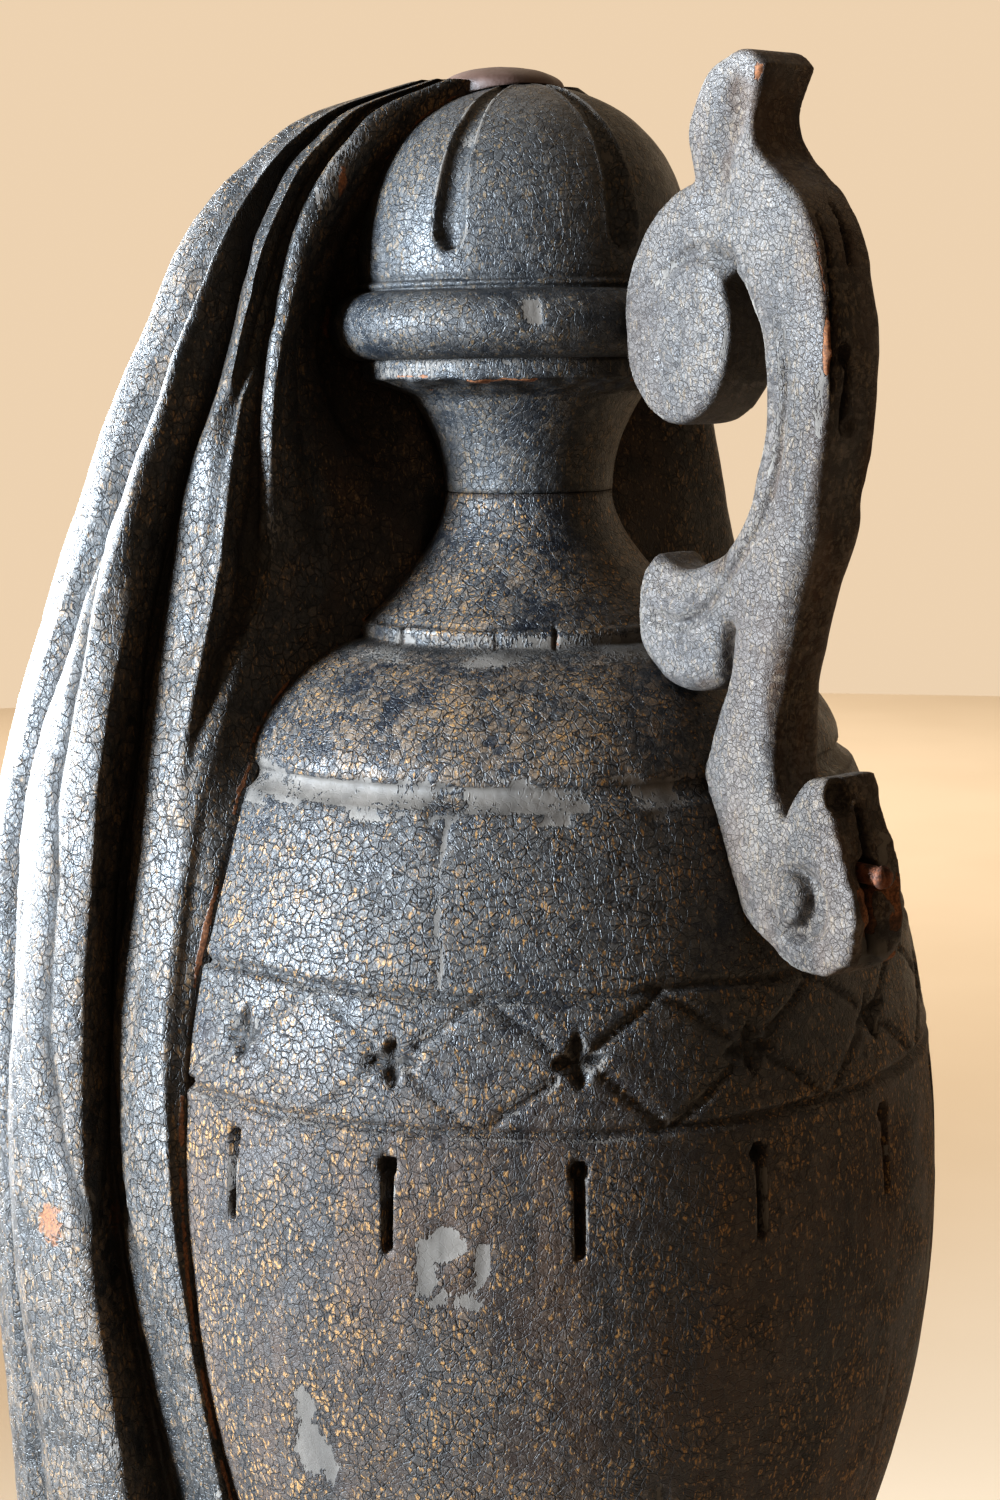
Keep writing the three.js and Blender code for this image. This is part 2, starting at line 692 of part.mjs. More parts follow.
function handle() {
  let solid = toSolid(placeHandle(board(handleOutline(), boardThickness, 0, boardChamfer)));
  for (const shape of handleCarving()) {
    for (const side of [-1, 1]) {
      const face = side * boardThickness / 2;
      const tool = board(shape, 2 * carvingDepth, face, 0, 2);
      solid = solid.subtract(toSolid(placeHandle(tool)));
    }
  }
  solid = solid.subtract(urnEnvelope(handleGap));
  solid = solid.subtract(screwSolid(screwGap));
  return toGeometry(solid);
}

// Materials

function finish(color, roughness, metalness = 0) {
  return new THREE.MeshStandardMaterial({ color, roughness, metalness });
}

const materials = {
  blackPaint: finish('#3b3835', 0.55),
  lidPaint: finish('#403d39', 0.55),
  clothPaint: finish('#35342f', 0.5),
  handlePaint: finish('#55534f', 0.65),
  brownButton: finish('#4a3128', 0.6),
  footPaint: finish('#33302c', 0.6),
  rust: finish('#5b2e1a', 0.85, 0.3),
};

// Assembly

const urn = new THREE.Group();

function addPiece(name, geometry, material) {
  const mesh = new THREE.Mesh(geometry, material);
  mesh.name = name;
  urn.add(mesh);
}

addPiece('plinth', plinth(), materials.footPaint);
addPiece('foot', foot(), materials.footPaint);
addPiece('urn_body', vessel(), materials.blackPaint);
addPiece('lid', lid(), materials.lidPaint);
addPiece('lid_knob', button(), materials.brownButton);
addPiece('drapery', cloth(), materials.clothPaint);
addPiece('handle', handle(), materials.handlePaint);
addPiece('handle_screw', toGeometry(screwSolid(0)), materials.rust);

export default urn;
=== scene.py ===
import bpy
import math
import numpy as np
from mathutils import Matrix, Vector


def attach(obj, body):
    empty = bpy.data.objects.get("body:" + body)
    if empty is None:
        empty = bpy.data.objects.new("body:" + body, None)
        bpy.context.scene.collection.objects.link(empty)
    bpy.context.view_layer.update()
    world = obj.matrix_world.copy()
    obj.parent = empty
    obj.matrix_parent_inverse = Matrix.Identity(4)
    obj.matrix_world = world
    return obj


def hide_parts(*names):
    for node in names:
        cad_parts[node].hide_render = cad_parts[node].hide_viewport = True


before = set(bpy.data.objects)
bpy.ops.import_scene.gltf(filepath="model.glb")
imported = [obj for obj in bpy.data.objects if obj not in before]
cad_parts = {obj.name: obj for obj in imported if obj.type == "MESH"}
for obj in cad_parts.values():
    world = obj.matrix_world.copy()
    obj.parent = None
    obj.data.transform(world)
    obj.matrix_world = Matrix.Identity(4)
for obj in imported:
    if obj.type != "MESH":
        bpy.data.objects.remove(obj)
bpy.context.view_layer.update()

# Sizes of the object, in millimetres, as in the solids
PLINTH_SIDE, PLINTH_HEIGHT, PLINTH_CHAMFER = 190.0, 34.0, 6.0
REST_GAP, CLOTH_GAP, HANDLE_GAP = 0.3, 0.4, 0.4
FOOT_HEIGHT, FOOT_RADIUS, FOOT_RIM, FOOT_WAIST = 76.0, 82.0, 11.0, 39.0
FOOT_BEAD_RADIUS, FOOT_BEAD, FOOT_TOP = 52.0, 12.0, 46.0
BELLY_RADIUS, BELLY_DEPTH, BELLY_BELOW_SEAM, WALL = 157.0, 264.0, 265.0, 25.0
NECK_RADIUS, BORE_RADIUS = 32.0, 20.0
COLLAR_DROP, COLLAR_HEIGHT, COLLAR_RADIUS = 46.0, 7.0, 68.0
SHOULDER_HEIGHT, LEDGE_HEIGHT, LEDGE_STEP = 41.0, 9.0, 6.0
BAND_DROP, BAND_HEIGHT = 160.0, 45.0
STAR_COUNT, STAR_TURN = 15, -6.5
STAR_PITCH = 360.0 / STAR_COUNT
SLOT_BELOW_BAND, SLOT_LENGTH = 14.0, 28.0
LID_NECK, LID_FLARE, UNDERCUT = 36.0, 12.3, 6.0
FILLET_RADIUS, FILLET_HEIGHT = 61.7, 7.0
ROLL_RADIUS, ROLL_THICKNESS = 74.0, 24.5
DOME_RADIUS, DOME_BAND, DOME_HEIGHT = 62.6, 3.5, 72.0
FLUTE_COUNT, FLUTE_TURN = 6, -2.0
KNOB_RADIUS, KNOB_OFFSET, KNOB_CAP, KNOB_RISE, KNOB_DEPTH = 23.5, 14.0, 7.5, 7.5, 16.5
CLOTH_SPREAD, CLOTH_CROWN = 59.0, 1.2
HEM_HEIGHT, HEM_WAVE, HEM_WAVES = 190.0, 8.0, 9
BOARD, SCROLL_RADIUS, BREAK_REACH = 27.0, 27.0, 92.0
SCREW_DROP, SCREW_STANDS_OUT, SCREW_HOLE = 171.0, 1.6, 5.4

FOOT_BASE = PLINTH_HEIGHT + REST_GAP
BELLY_BASE = FOOT_BASE + FOOT_HEIGHT + REST_GAP
BELLY_LEVEL = BELLY_BASE + BELLY_DEPTH * math.sqrt(1 - (FOOT_TOP / BELLY_RADIUS) ** 2)
SEAM = BELLY_LEVEL + BELLY_BELOW_SEAM
LEDGE_TOP = SEAM - COLLAR_DROP - COLLAR_HEIGHT - SHOULDER_HEIGHT
LEDGE_BASE = LEDGE_TOP - LEDGE_HEIGHT
BAND_TOP = SEAM - BAND_DROP
BAND_BASE = BAND_TOP - BAND_HEIGHT
LID_BASE = SEAM + REST_GAP
FILLET_BASE = LID_BASE + LID_NECK + UNDERCUT
ROLL_BASE = FILLET_BASE + FILLET_HEIGHT
DOME_BASE = ROLL_BASE + ROLL_THICKNESS + DOME_BAND
CROWN = DOME_BASE + DOME_HEIGHT
SCROLL_X = ROLL_RADIUS + SCROLL_RADIUS + 0.5
SCROLL_Z = SEAM + 53

# How far round from the seen side, in degrees, the carving is worked out; masks of the unseen inside, which is
# darkened as painted shade
STARS_WITHIN, SLOTS_WITHIN, FLUTES_WITHIN = 112, 100, 100
INSIDE_SHADE, INSIDE_STAIN_AND_SHADE = 0.55, 0.6


# Noise for the meshes: p is an array of points in millimetres

def lattice(i, j, k, seed):
    h = (i * 73856093) ^ (j * 19349663) ^ (k * 83492791) ^ (seed * 40503 + 977)
    h = h & 0xFFFFFFFF
    h = ((h ^ (h >> 16)) * 0x45D9F3B) & 0xFFFFFFFF
    h = ((h ^ (h >> 16)) * 0x45D9F3B) & 0xFFFFFFFF
    return (h ^ (h >> 16)) / 4294967295.0


def noise(p, size, seed=0):
    q = np.asarray(p, float) / size
    base = np.floor(q).astype(np.int64)
    f = q - base
    f = f * f * f * (f * (f * 6 - 15) + 10)
    total = 0.0
    for a in (0, 1):
        wa = f[..., 0] if a else 1 - f[..., 0]
        for b in (0, 1):
            wb = f[..., 1] if b else 1 - f[..., 1]
            for c in (0, 1):
                wc = f[..., 2] if c else 1 - f[..., 2]
                total = total + wa * wb * wc * lattice(
                    base[..., 0] + a, base[..., 1] + b, base[..., 2] + c, seed)
    return total * 2 - 1


def fbm(p, size, seed=0, octaves=3):
    total, weight, sum_weight = 0.0, 1.0, 0.0
    for n in range(octaves):
        total = total + weight * noise(p, size / 2 ** n, seed + 31 * n)
        sum_weight += weight
        weight *= 0.5
    return total / sum_weight


def step(low, high, value):
    t = np.clip((value - low) / (high - low), 0, 1)
    return t * t * (3 - 2 * t)


def bell(value, width):
    return np.exp(-(value / width) ** 2)


# Curves

def through(places, values, at):
    x, y = np.asarray(places, float), np.asarray(values, float)
    slope = np.gradient(y, x)
    i = np.clip(np.searchsorted(x, at, side="right") - 1, 0, len(x) - 2)
    h = x[i + 1] - x[i]
    t = np.clip((at - x[i]) / h, 0, 1)
    return ((2 * t ** 3 - 3 * t ** 2 + 1) * y[i] + (t ** 3 - 2 * t ** 2 + t) * h * slope[i]
            + (3 * t ** 2 - 2 * t ** 3) * y[i + 1] + (t ** 3 - t ** 2) * h * slope[i + 1])


def curve(points, per=8):
    p = np.asarray(points, float)
    gaps = np.sqrt(np.linalg.norm(np.diff(p, axis=0), axis=1))
    places = np.concatenate([[0], np.cumsum(gaps)])
    at = np.concatenate([np.linspace(a, b, per, endpoint=False) for a, b in zip(places, places[1:])])
    at = np.append(at, places[-1])
    return np.stack([through(places, p[:, k], at) for k in range(p.shape[1])], axis=-1)


def walk(points, spacing):
    """The same polyline with its points spaced out; spacing is a number or a function of a point."""
    p = np.asarray(points, float)
    size = spacing if callable(spacing) else (lambda q: np.full(len(q), float(spacing)))
    fine = [p[:1]]
    for a, b in zip(p, p[1:]):
        count = max(1, int(math.ceil(np.linalg.norm(b - a) / 0.5)))
        share = np.linspace(0, 1, count + 1)[1:, None]
        fine.append(a + (b - a) * share)
    fine = np.concatenate(fine)
    lengths = np.linalg.norm(np.diff(fine, axis=0), axis=1)
    middle = (fine[1:] + fine[:-1]) / 2
    along = np.concatenate([[0], np.cumsum(lengths / size(middle))])
    count = max(1, int(round(along[-1])))
    at = np.linspace(0, along[-1], count + 1)
    return np.stack([np.interp(at, along, fine[:, k]) for k in range(p.shape[1])], axis=-1)


def joined(*parts):
    out = [np.asarray(parts[0], float)]
    for part in parts[1:]:
        part = np.asarray(part, float)
        near = np.linalg.norm(part[0] - out[-1][-1]) < 1e-6
        out.append(part[1:] if near else part)
    return np.concatenate(out)


def belly_at(z):
    return BELLY_RADIUS * np.sqrt(np.maximum(0, 1 - ((z - BELLY_LEVEL) / BELLY_DEPTH) ** 2))


def dome_at(z):
    rise = np.clip((z - DOME_BASE) / DOME_HEIGHT, 0, 1)
    return DOME_RADIUS * np.sqrt(np.maximum(0, 1 - rise ** 2.5))


# Profiles as [radius, height], from the bottom up

def shoulder_line():
    top = SEAM - COLLAR_DROP - COLLAR_HEIGHT
    inner, outer = COLLAR_RADIUS + 1, belly_at(LEDGE_BASE) - LEDGE_STEP
    out = np.sin((1 - np.linspace(0, 1, 25)) * math.pi / 2)
    rounded = 1 - np.sqrt(np.maximum(0, 1 - out * out))
    return np.stack([inner + (outer - inner) * out, top - SHOULDER_HEIGHT * (rounded + out ** 1.5) / 2], axis=-1)


def neck_line():
    share = np.linspace(0.93, 0, 24)
    return np.stack([NECK_RADIUS + (COLLAR_RADIUS - 2 - NECK_RADIUS) * share ** 1.75,
                     SEAM - COLLAR_DROP * share], axis=-1)


def belly_line():
    low = -math.acos(FOOT_TOP / BELLY_RADIUS)
    high = math.asin((LEDGE_BASE - BELLY_LEVEL) / BELLY_DEPTH)
    turn = np.linspace(low, high, 160)
    return np.stack([BELLY_RADIUS * np.cos(turn), BELLY_LEVEL + BELLY_DEPTH * np.sin(turn)], axis=-1)


def lid_line():
    neck_top = NECK_RADIUS + LID_FLARE
    share = np.linspace(0, 1, 20)
    neck = np.stack([NECK_RADIUS + LID_FLARE * share ** 2, LID_BASE + LID_NECK * share], axis=-1)
    under = curve([[neck_top, LID_BASE + LID_NECK], [(neck_top + FILLET_RADIUS) / 2 + 3, FILLET_BASE - 1.5],
                   [FILLET_RADIUS - 0.6, FILLET_BASE - 0.4]], 6)
    fillet = [[FILLET_RADIUS, FILLET_BASE + 0.6], [FILLET_RADIUS, ROLL_BASE - 0.8],
              [FILLET_RADIUS - 0.8, ROLL_BASE]]
    turn = np.linspace(-0.47, 0.47, 24) * math.pi
    half = ROLL_THICKNESS / 2
    roll = np.stack([ROLL_RADIUS - half * (1 - np.cos(turn)), ROLL_BASE + half * (1 + np.sin(turn))], axis=-1)
    band = [[DOME_RADIUS - 0.5, DOME_BASE - DOME_BAND + 0.3], [DOME_RADIUS + 0.9, DOME_BASE - DOME_BAND + 1.2],
            [DOME_RADIUS + 0.9, DOME_BASE - 0.9], [DOME_RADIUS - 0.8, DOME_BASE]]
    rise = DOME_BASE + DOME_HEIGHT * np.sin(np.linspace(0.02, 1, 60) * math.pi / 2)
    dome = np.stack([dome_at(rise), rise], axis=-1)
    return joined(neck, under, fillet, roll, band, dome)


def outline_radius(z):
    """Outer radius of the vessel and its lid at each height."""
    line = joined(belly_line(), shoulder_line(),
                  [[COLLAR_RADIUS, SEAM - COLLAR_DROP - COLLAR_HEIGHT + 0.5], [COLLAR_RADIUS, SEAM - COLLAR_DROP]],
                  neck_line(), lid_line())
    heights = np.maximum.accumulate(line[:, 1] + np.arange(len(line)) * 1e-7)
    return np.interp(z, heights, line[:, 0], right=0.0)


def gaps_from_line(u, v, a, b):
    """Distance from points (u, v) to the segment a-b, and the share along it."""
    du, dv = b[0] - a[0], b[1] - a[1]
    share = np.clip(((u - a[0]) * du + (v - a[1]) * dv) / (du * du + dv * dv), 0, 1)
    return np.hypot(u - a[0] - share * du, v - a[1] - share * dv), share


def wrapped(angle):
    return (angle + 180) % 360 - 180


def arc(theta, angle, radius):
    """Distance round the axis from a turn in degrees."""
    return np.radians(wrapped(theta - angle)) * radius


def trough(near, width, deep, power=0.8):
    """Depth of a cut whose middle line is `near` away."""
    return deep * np.clip(1 - near / width, 0, 1) ** power


class Marks:
    """How far points move along their normals, and the masks from 0 to 1 that their material reads."""

    def __init__(self, move=0.0):
        self.move, self.masks = move, {}

    def add(self, **shares):
        for key, share in shares.items():
            self.masks[key] = np.maximum(self.masks.get(key, 0.0), share)

    def sink(self, depth, **shares):
        self.move = self.move - depth
        self.add(**shares)


# Meshes

def lay(name, points, faces, material, node, masks):
    """Makes a piece from points in millimetres, with named masks for its material."""
    mesh = bpy.data.meshes.new(name)
    mesh.from_pydata((np.asarray(points) / 1000.0).tolist(), [], [list(map(int, f)) for f in faces])
    mesh.polygons.foreach_set("use_smooth", [True] * len(mesh.polygons))
    for key, values in masks.items():
        layer = mesh.attributes.new(key, "FLOAT", "POINT")
        layer.data.foreach_set("value", np.clip(values, 0, 1).astype(np.float32).ravel())
    mesh.update()
    piece = bpy.data.objects.new(name, mesh)
    bpy.context.scene.collection.objects.link(piece)
    mesh.materials.append(material)
    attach(piece, "root")
    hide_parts(node)
    return piece


def grid_faces(rows, cols):
    """Quads of a tube of rings, each ring closed."""
    i = np.arange(rows - 1)[:, None] * cols
    j = np.arange(cols)[None]
    k = (j + 1) % cols
    return np.stack([i + j, i + k, i + cols + k, i + cols + j], axis=-1).reshape(-1, 4)


def capped(rings, low, high):
    """Points and faces of a tube of rings, closed by a fan to a middle point at each end."""
    rows, cols = rings.shape[:2]
    points = np.concatenate([rings.reshape(-1, 3), [low, high]])
    faces = grid_faces(rows, cols).tolist()
    for j in range(cols):
        k = (j + 1) % cols
        faces.append([rows * cols, k, j])
        faces.append([rows * cols + 1, (rows - 1) * cols + j, (rows - 1) * cols + k])
    return points, faces


def flat_masks(masks, shape, ends=(0, 0)):
    """Masks of the rings' points, followed by those of the points at the ends."""
    return {key: np.append(np.broadcast_to(v, shape).ravel(), ends) for key, v in masks.items()}


def turned(name, profile, angles, relief, material, node):
    """A turned piece: profile starts and ends on the axis; relief marks its points."""
    profile = np.asarray(profile, float)
    tangent = np.gradient(profile, axis=0)
    tangent /= np.maximum(1e-9, np.linalg.norm(tangent, axis=1))[:, None]
    inner = profile[1:-1]
    turn = np.radians(angles)
    across = np.stack([np.cos(turn), np.sin(turn)], axis=-1)
    shape = (len(inner), len(angles))
    theta = np.broadcast_to(angles, shape)
    r, z = [np.broadcast_to(inner[:, k, None], shape) for k in (0, 1)]
    p = np.concatenate([r[..., None] * across, z[..., None]], axis=-1)
    marks = relief(theta, r, z, p)
    normal = np.concatenate([tangent[1:-1, None, 1:] * across,
                             np.broadcast_to(-tangent[1:-1, None, :1], shape + (1,))], axis=-1)
    p = p + marks.move[..., None] * normal
    points, faces = capped(p, [0, 0, profile[0, 1]], [0, 0, profile[-1, 1]])
    return lay(name, points, faces, material, node, flat_masks(marks.masks, shape))


def spread(stretches):
    """Angles from a list of (start, end, spacing in degrees)."""
    out = []
    for start, end, gap in stretches:
        count = max(1, int(round((end - start) / gap)))
        out.extend(np.linspace(start, end, count, endpoint=False))
    return np.array(out)


# Materials

class Value:
    """What a node gives, for sums and products in a material."""

    def __init__(self, nodes, socket):
        self.nodes, self.socket = nodes, socket

    def __add__(self, other):
        return self.nodes.math("ADD", self, other)

    def __sub__(self, other):
        return self.nodes.math("SUBTRACT", self, other)

    def __mul__(self, other):
        return self.nodes.math("MULTIPLY", self, other)


class Nodes:
    """A small hand for building a material's node tree."""

    def __init__(self, name):
        self.material = bpy.data.materials.new(name)
        self.material.use_nodes = True
        self.tree = self.material.node_tree
        self.tree.nodes.clear()
        output = self.tree.nodes.new("ShaderNodeOutputMaterial")
        self.shader = self.tree.nodes.new("ShaderNodeBsdfPrincipled")
        self.tree.links.new(self.shader.outputs[0], output.inputs[0])
        self.place = self.node("TexCoord", "Object", {})

    def feed(self, socket, value):
        if isinstance(value, Value):
            self.tree.links.new(value.socket, socket)
        else:
            socket.default_value = value

    def node(self, kind, output, inputs, **settings):
        """A new node with its inputs and settings; gives one of its outputs."""
        node = self.tree.nodes.new("ShaderNode" + kind)
        for key, setting in settings.items():
            setattr(node, key, setting)
        for key, value in inputs.items():
            self.feed(node.inputs[key], value)
        return Value(self, node.outputs[output])

    def finish(self, colour, roughness, normal=None, specular=0.5, metallic=0.0):
        for key, value in (("Base Color", colour), ("Roughness", roughness), ("Specular IOR Level", specular),
                           ("Metallic", metallic)):
            self.feed(self.shader.inputs[key], value)
        if normal:
            self.feed(self.shader.inputs["Normal"], normal)
        return self.material

    def math(self, kind, a, b, clamp=False):
        return self.node("Math", 0, {0: a, 1: b}, operation=kind, use_clamp=clamp)

    def mapped(self, value, low, high, to_low=0.0, to_high=1.0):
        return self.node("MapRange", "Result", {
            "Value": value, "From Min": low, "From Max": high, "To Min": to_low, "To Max": to_high},
            interpolation_type="SMOOTHSTEP")

    def stretched(self, scale, place=None):
        return self.node("Mapping", 0, {"Vector": place or self.place, "Scale": scale})

    def noise(self, scale, detail, roughness, distortion=0.0, place=None, output="Fac"):
        return self.node("TexNoise", output, {
            "Vector": place or self.place, "Scale": scale, "Detail": detail, "Roughness": roughness,
            "Distortion": distortion})

    def cells(self, scale, place, feature="DISTANCE_TO_EDGE", output="Distance"):
        return self.node("TexVoronoi", output, {"Vector": place, "Scale": scale}, feature=feature)

    def warped(self, amount, scale):
        """The object's coordinates, pushed about by noise."""
        wobble = self.noise(scale, 2.0, 0.55, output="Color")
        centred = self.node("VectorMath", 0, {0: wobble, 1: (0.5, 0.5, 0.5)}, operation="SUBTRACT")
        return self.node("VectorMath", 0, {0: centred, 1: (amount, amount, amount), 2: self.place},
                         operation="MULTIPLY_ADD")

    def mask(self, name):
        return self.node("Attribute", "Fac", {}, attribute_name=name)

    def mix(self, share, a, b):
        a, b = [v if isinstance(v, Value) else (*v, 1.0) for v in (a, b)]
        return self.node("Mix", 2, {0: share, 6: a, 7: b}, data_type="RGBA")

    def bump(self, height, distance, strength=1.0, normal=None):
        inputs = {"Height": height, "Distance": distance, "Strength": strength}
        if normal:
            inputs["Normal"] = normal
        return self.node("Bump", 0, inputs)


def times(factor, colour):
    return tuple(factor * c for c in colour)


# Bare grey wood, also used to paint highlights, and the raw wood of chips
BARE_WOOD_AND_HIGHLIGHT, RAW_WOOD = (0.10, 0.088, 0.076), (0.15, 0.062, 0.026)
# Brown stain colours, also used as painted shade, and the near black of dirt and painted shade
STAIN_AND_SHADE_DARK, STAIN_AND_SHADE_PALE, GRIME_AND_SHADE = (0.013, 0.008, 0.005), (0.054, 0.030, 0.016), (0.006, 0.005, 0.004)


def cracked_paint(name, dark, pale, ochre, ochre_share=0.5, cell=0.0042, relief=0.00034, rough=(0.34, 0.58),
                  stretch=(1.0, 1.0, 1.0), plates=1.0, crack=0.9):
    """Old paint shrunk into raised plates, with worn ochre flecks, bare grey wood that also paints highlights, and
    dirt with painted shade darkening the hollows.
    """
    n = Nodes(name)
    place = n.stretched(stretch, n.warped(0.0035, 190.0))
    large = n.noise(11.0, 2.0, 0.6)
    middle = n.noise(48.0, 3.0, 0.65)
    spots = n.noise(330.0, 1.0, 0.6, 0.8)
    fine = n.noise(900.0, 1.0, 0.65, 0.4)
    strokes = n.noise(820.0, 1.0, 0.65, 0.5, n.stretched((1.0, 1.0, 0.42)))
    grain = n.noise(60.0, 3.0, 0.6, 0.0, n.stretched((1.0, 1.0, 0.12)))
    cracks = n.cells(1.0 / cell, place)
    plate = n.cells(1.0 / cell, place, "F1", "Color")
    small = n.cells(2.3 / cell, place)
    dirt, bare, chip, stain, worn = [n.mask(key) for key in ("dirt", "bare", "chip", "stain", "worn")]

    # where the cracks gape, and where the paint is lost
    patchy = n.mapped(middle * 0.7 + large * 0.3, 0.40, 0.56, 0.5, 1.0)
    broken = n.mapped(spots * 0.6 + strokes * 0.4, 0.40, 0.52, 0.45, 1.0)
    gap = n.mapped(cracks, 0.01, 0.105, 1.0, 0.0) * (patchy * broken)
    hair = n.mapped(small, 0.0, 0.09, 1.0, 0.0) * n.mapped(middle, 0.40, 0.56, 0.3, 1.0)
    bare_and_highlight_share = n.mapped(bare + (strokes - 0.5) * 1.3, 0.44, 0.6)
    wood_share = n.mapped(chip + (spots - 0.5) * 0.8, 0.46, 0.6)
    painted = n.math("SUBTRACT", 1.0, n.math("MAXIMUM", bare_and_highlight_share, wood_share), clamp=True)

    tone = large * 0.2 + middle * 0.32 + (fine + spots) * 0.2 + plate * 0.12
    rubbed = n.mapped(middle * 0.42 + spots * 0.63 + plate * 0.28 + worn * 0.28, 0.80, 1.05)
    fleck = n.mapped(strokes + (middle - 0.5) * 0.45 + stain * 0.03, 0.575, 0.72)
    colour = n.mix(n.mapped(tone, 0.40, 0.57), dark, pale)
    for share, tint in (
            # brown stain, which also paints shade on the cloth's walls and valleys and on sides turned from the window
            (stain, n.mix(n.mapped(grain, 0.35, 0.65), STAIN_AND_SHADE_DARK, STAIN_AND_SHADE_PALE)),
            (rubbed * (0.7 * ochre_share), tuple(0.38 * o + p for o, p in zip(ochre, pale))),
            (fleck * ochre_share, ochre),
            (gap * crack, times(0.15, dark)),
            (hair * (0.8 * crack), times(0.3, dark)),
            # bare grey wood, which also paints highlights on the cloth's ridges and the stars' cut edges
            (bare_and_highlight_share, n.mix(n.mapped(grain, 0.3, 0.7), times(0.6, BARE_WOOD_AND_HIGHLIGHT), times(1.15, BARE_WOOD_AND_HIGHLIGHT))),
            (wood_share, n.mix(n.mapped(fine, 0.3, 0.7), times(0.45, RAW_WOOD), times(1.2, RAW_WOOD))),
            # painted shade: hollows, cuts and creases darkened towards near black, with some dirt
            (dirt * 0.9, GRIME_AND_SHADE)):
        colour = n.mix(share, colour, tint)

    shine = n.mapped(middle * 0.6 + fine * 0.4, 0.35, 0.65, *rough) + n.math("SUBTRACT", 1.0, painted) * 0.25
    shine = n.math("ADD", shine, n.math("MAXIMUM", dirt, stain) * 0.3, clamp=True)
    rise = n.mapped(cracks, 0.0, 0.07) - n.mapped(cracks, 0.07, 0.4, 0.0, 0.22)
    height = rise * (patchy * (0.8 * plates)) + plate * (0.3 * plates) + n.mapped(small, 0.0, 0.12) * (0.28 * plates)
    height = (height + fine * 0.25 + spots * 0.3) * (painted * 0.85 + 0.15)
    return n.finish(colour, shine, n.bump(height, relief, 1.0, n.bump(middle, 0.0016, 0.7)), 0.32)


def brown_knob_material():
    n = Nodes("worn_brown")
    large = n.noise(60.0, 4.0, 0.6)
    fine = n.noise(700.0, 3.0, 0.6)
    colour = n.mix(n.mapped(large, 0.35, 0.65), (0.045, 0.024, 0.018), (0.085, 0.048, 0.036))
    colour = n.mix(n.mapped(fine, 0.55, 0.75, 0.0, 0.5), colour, (0.05, 0.03, 0.025))
    # darker under the cap's rim: painted shade, with dirt
    colour = n.mix(n.mask("dirt") * 0.85, colour, (0.012, 0.009, 0.007))
    normal = n.bump(fine, 0.0003, 0.5, n.bump(large, 0.0008, 0.4))
    return n.finish(colour, n.mapped(large, 0.3, 0.7, 0.45, 0.65), normal)


def rust_material():
    n = Nodes("rusted_iron")
    large = n.noise(260.0, 4.0, 0.65)
    fine = n.noise(1500.0, 3.0, 0.6)
    colour = n.mix(n.mapped(large, 0.35, 0.62), (0.03, 0.013, 0.008), (0.14, 0.045, 0.016))
    return n.finish(colour, n.mapped(fine, 0.3, 0.7, 0.6, 0.9), n.bump(fine, 0.0003, 0.8), metallic=0.3)


def floor_material():
    n = Nodes("studio_floor")
    large = n.noise(3.0, 2.0, 0.5)
    return n.finish(n.mix(n.mapped(large, 0.3, 0.7), (0.72, 0.62, 0.49), (0.75, 0.65, 0.52)), 0.9, specular=0.1)


# Vessel

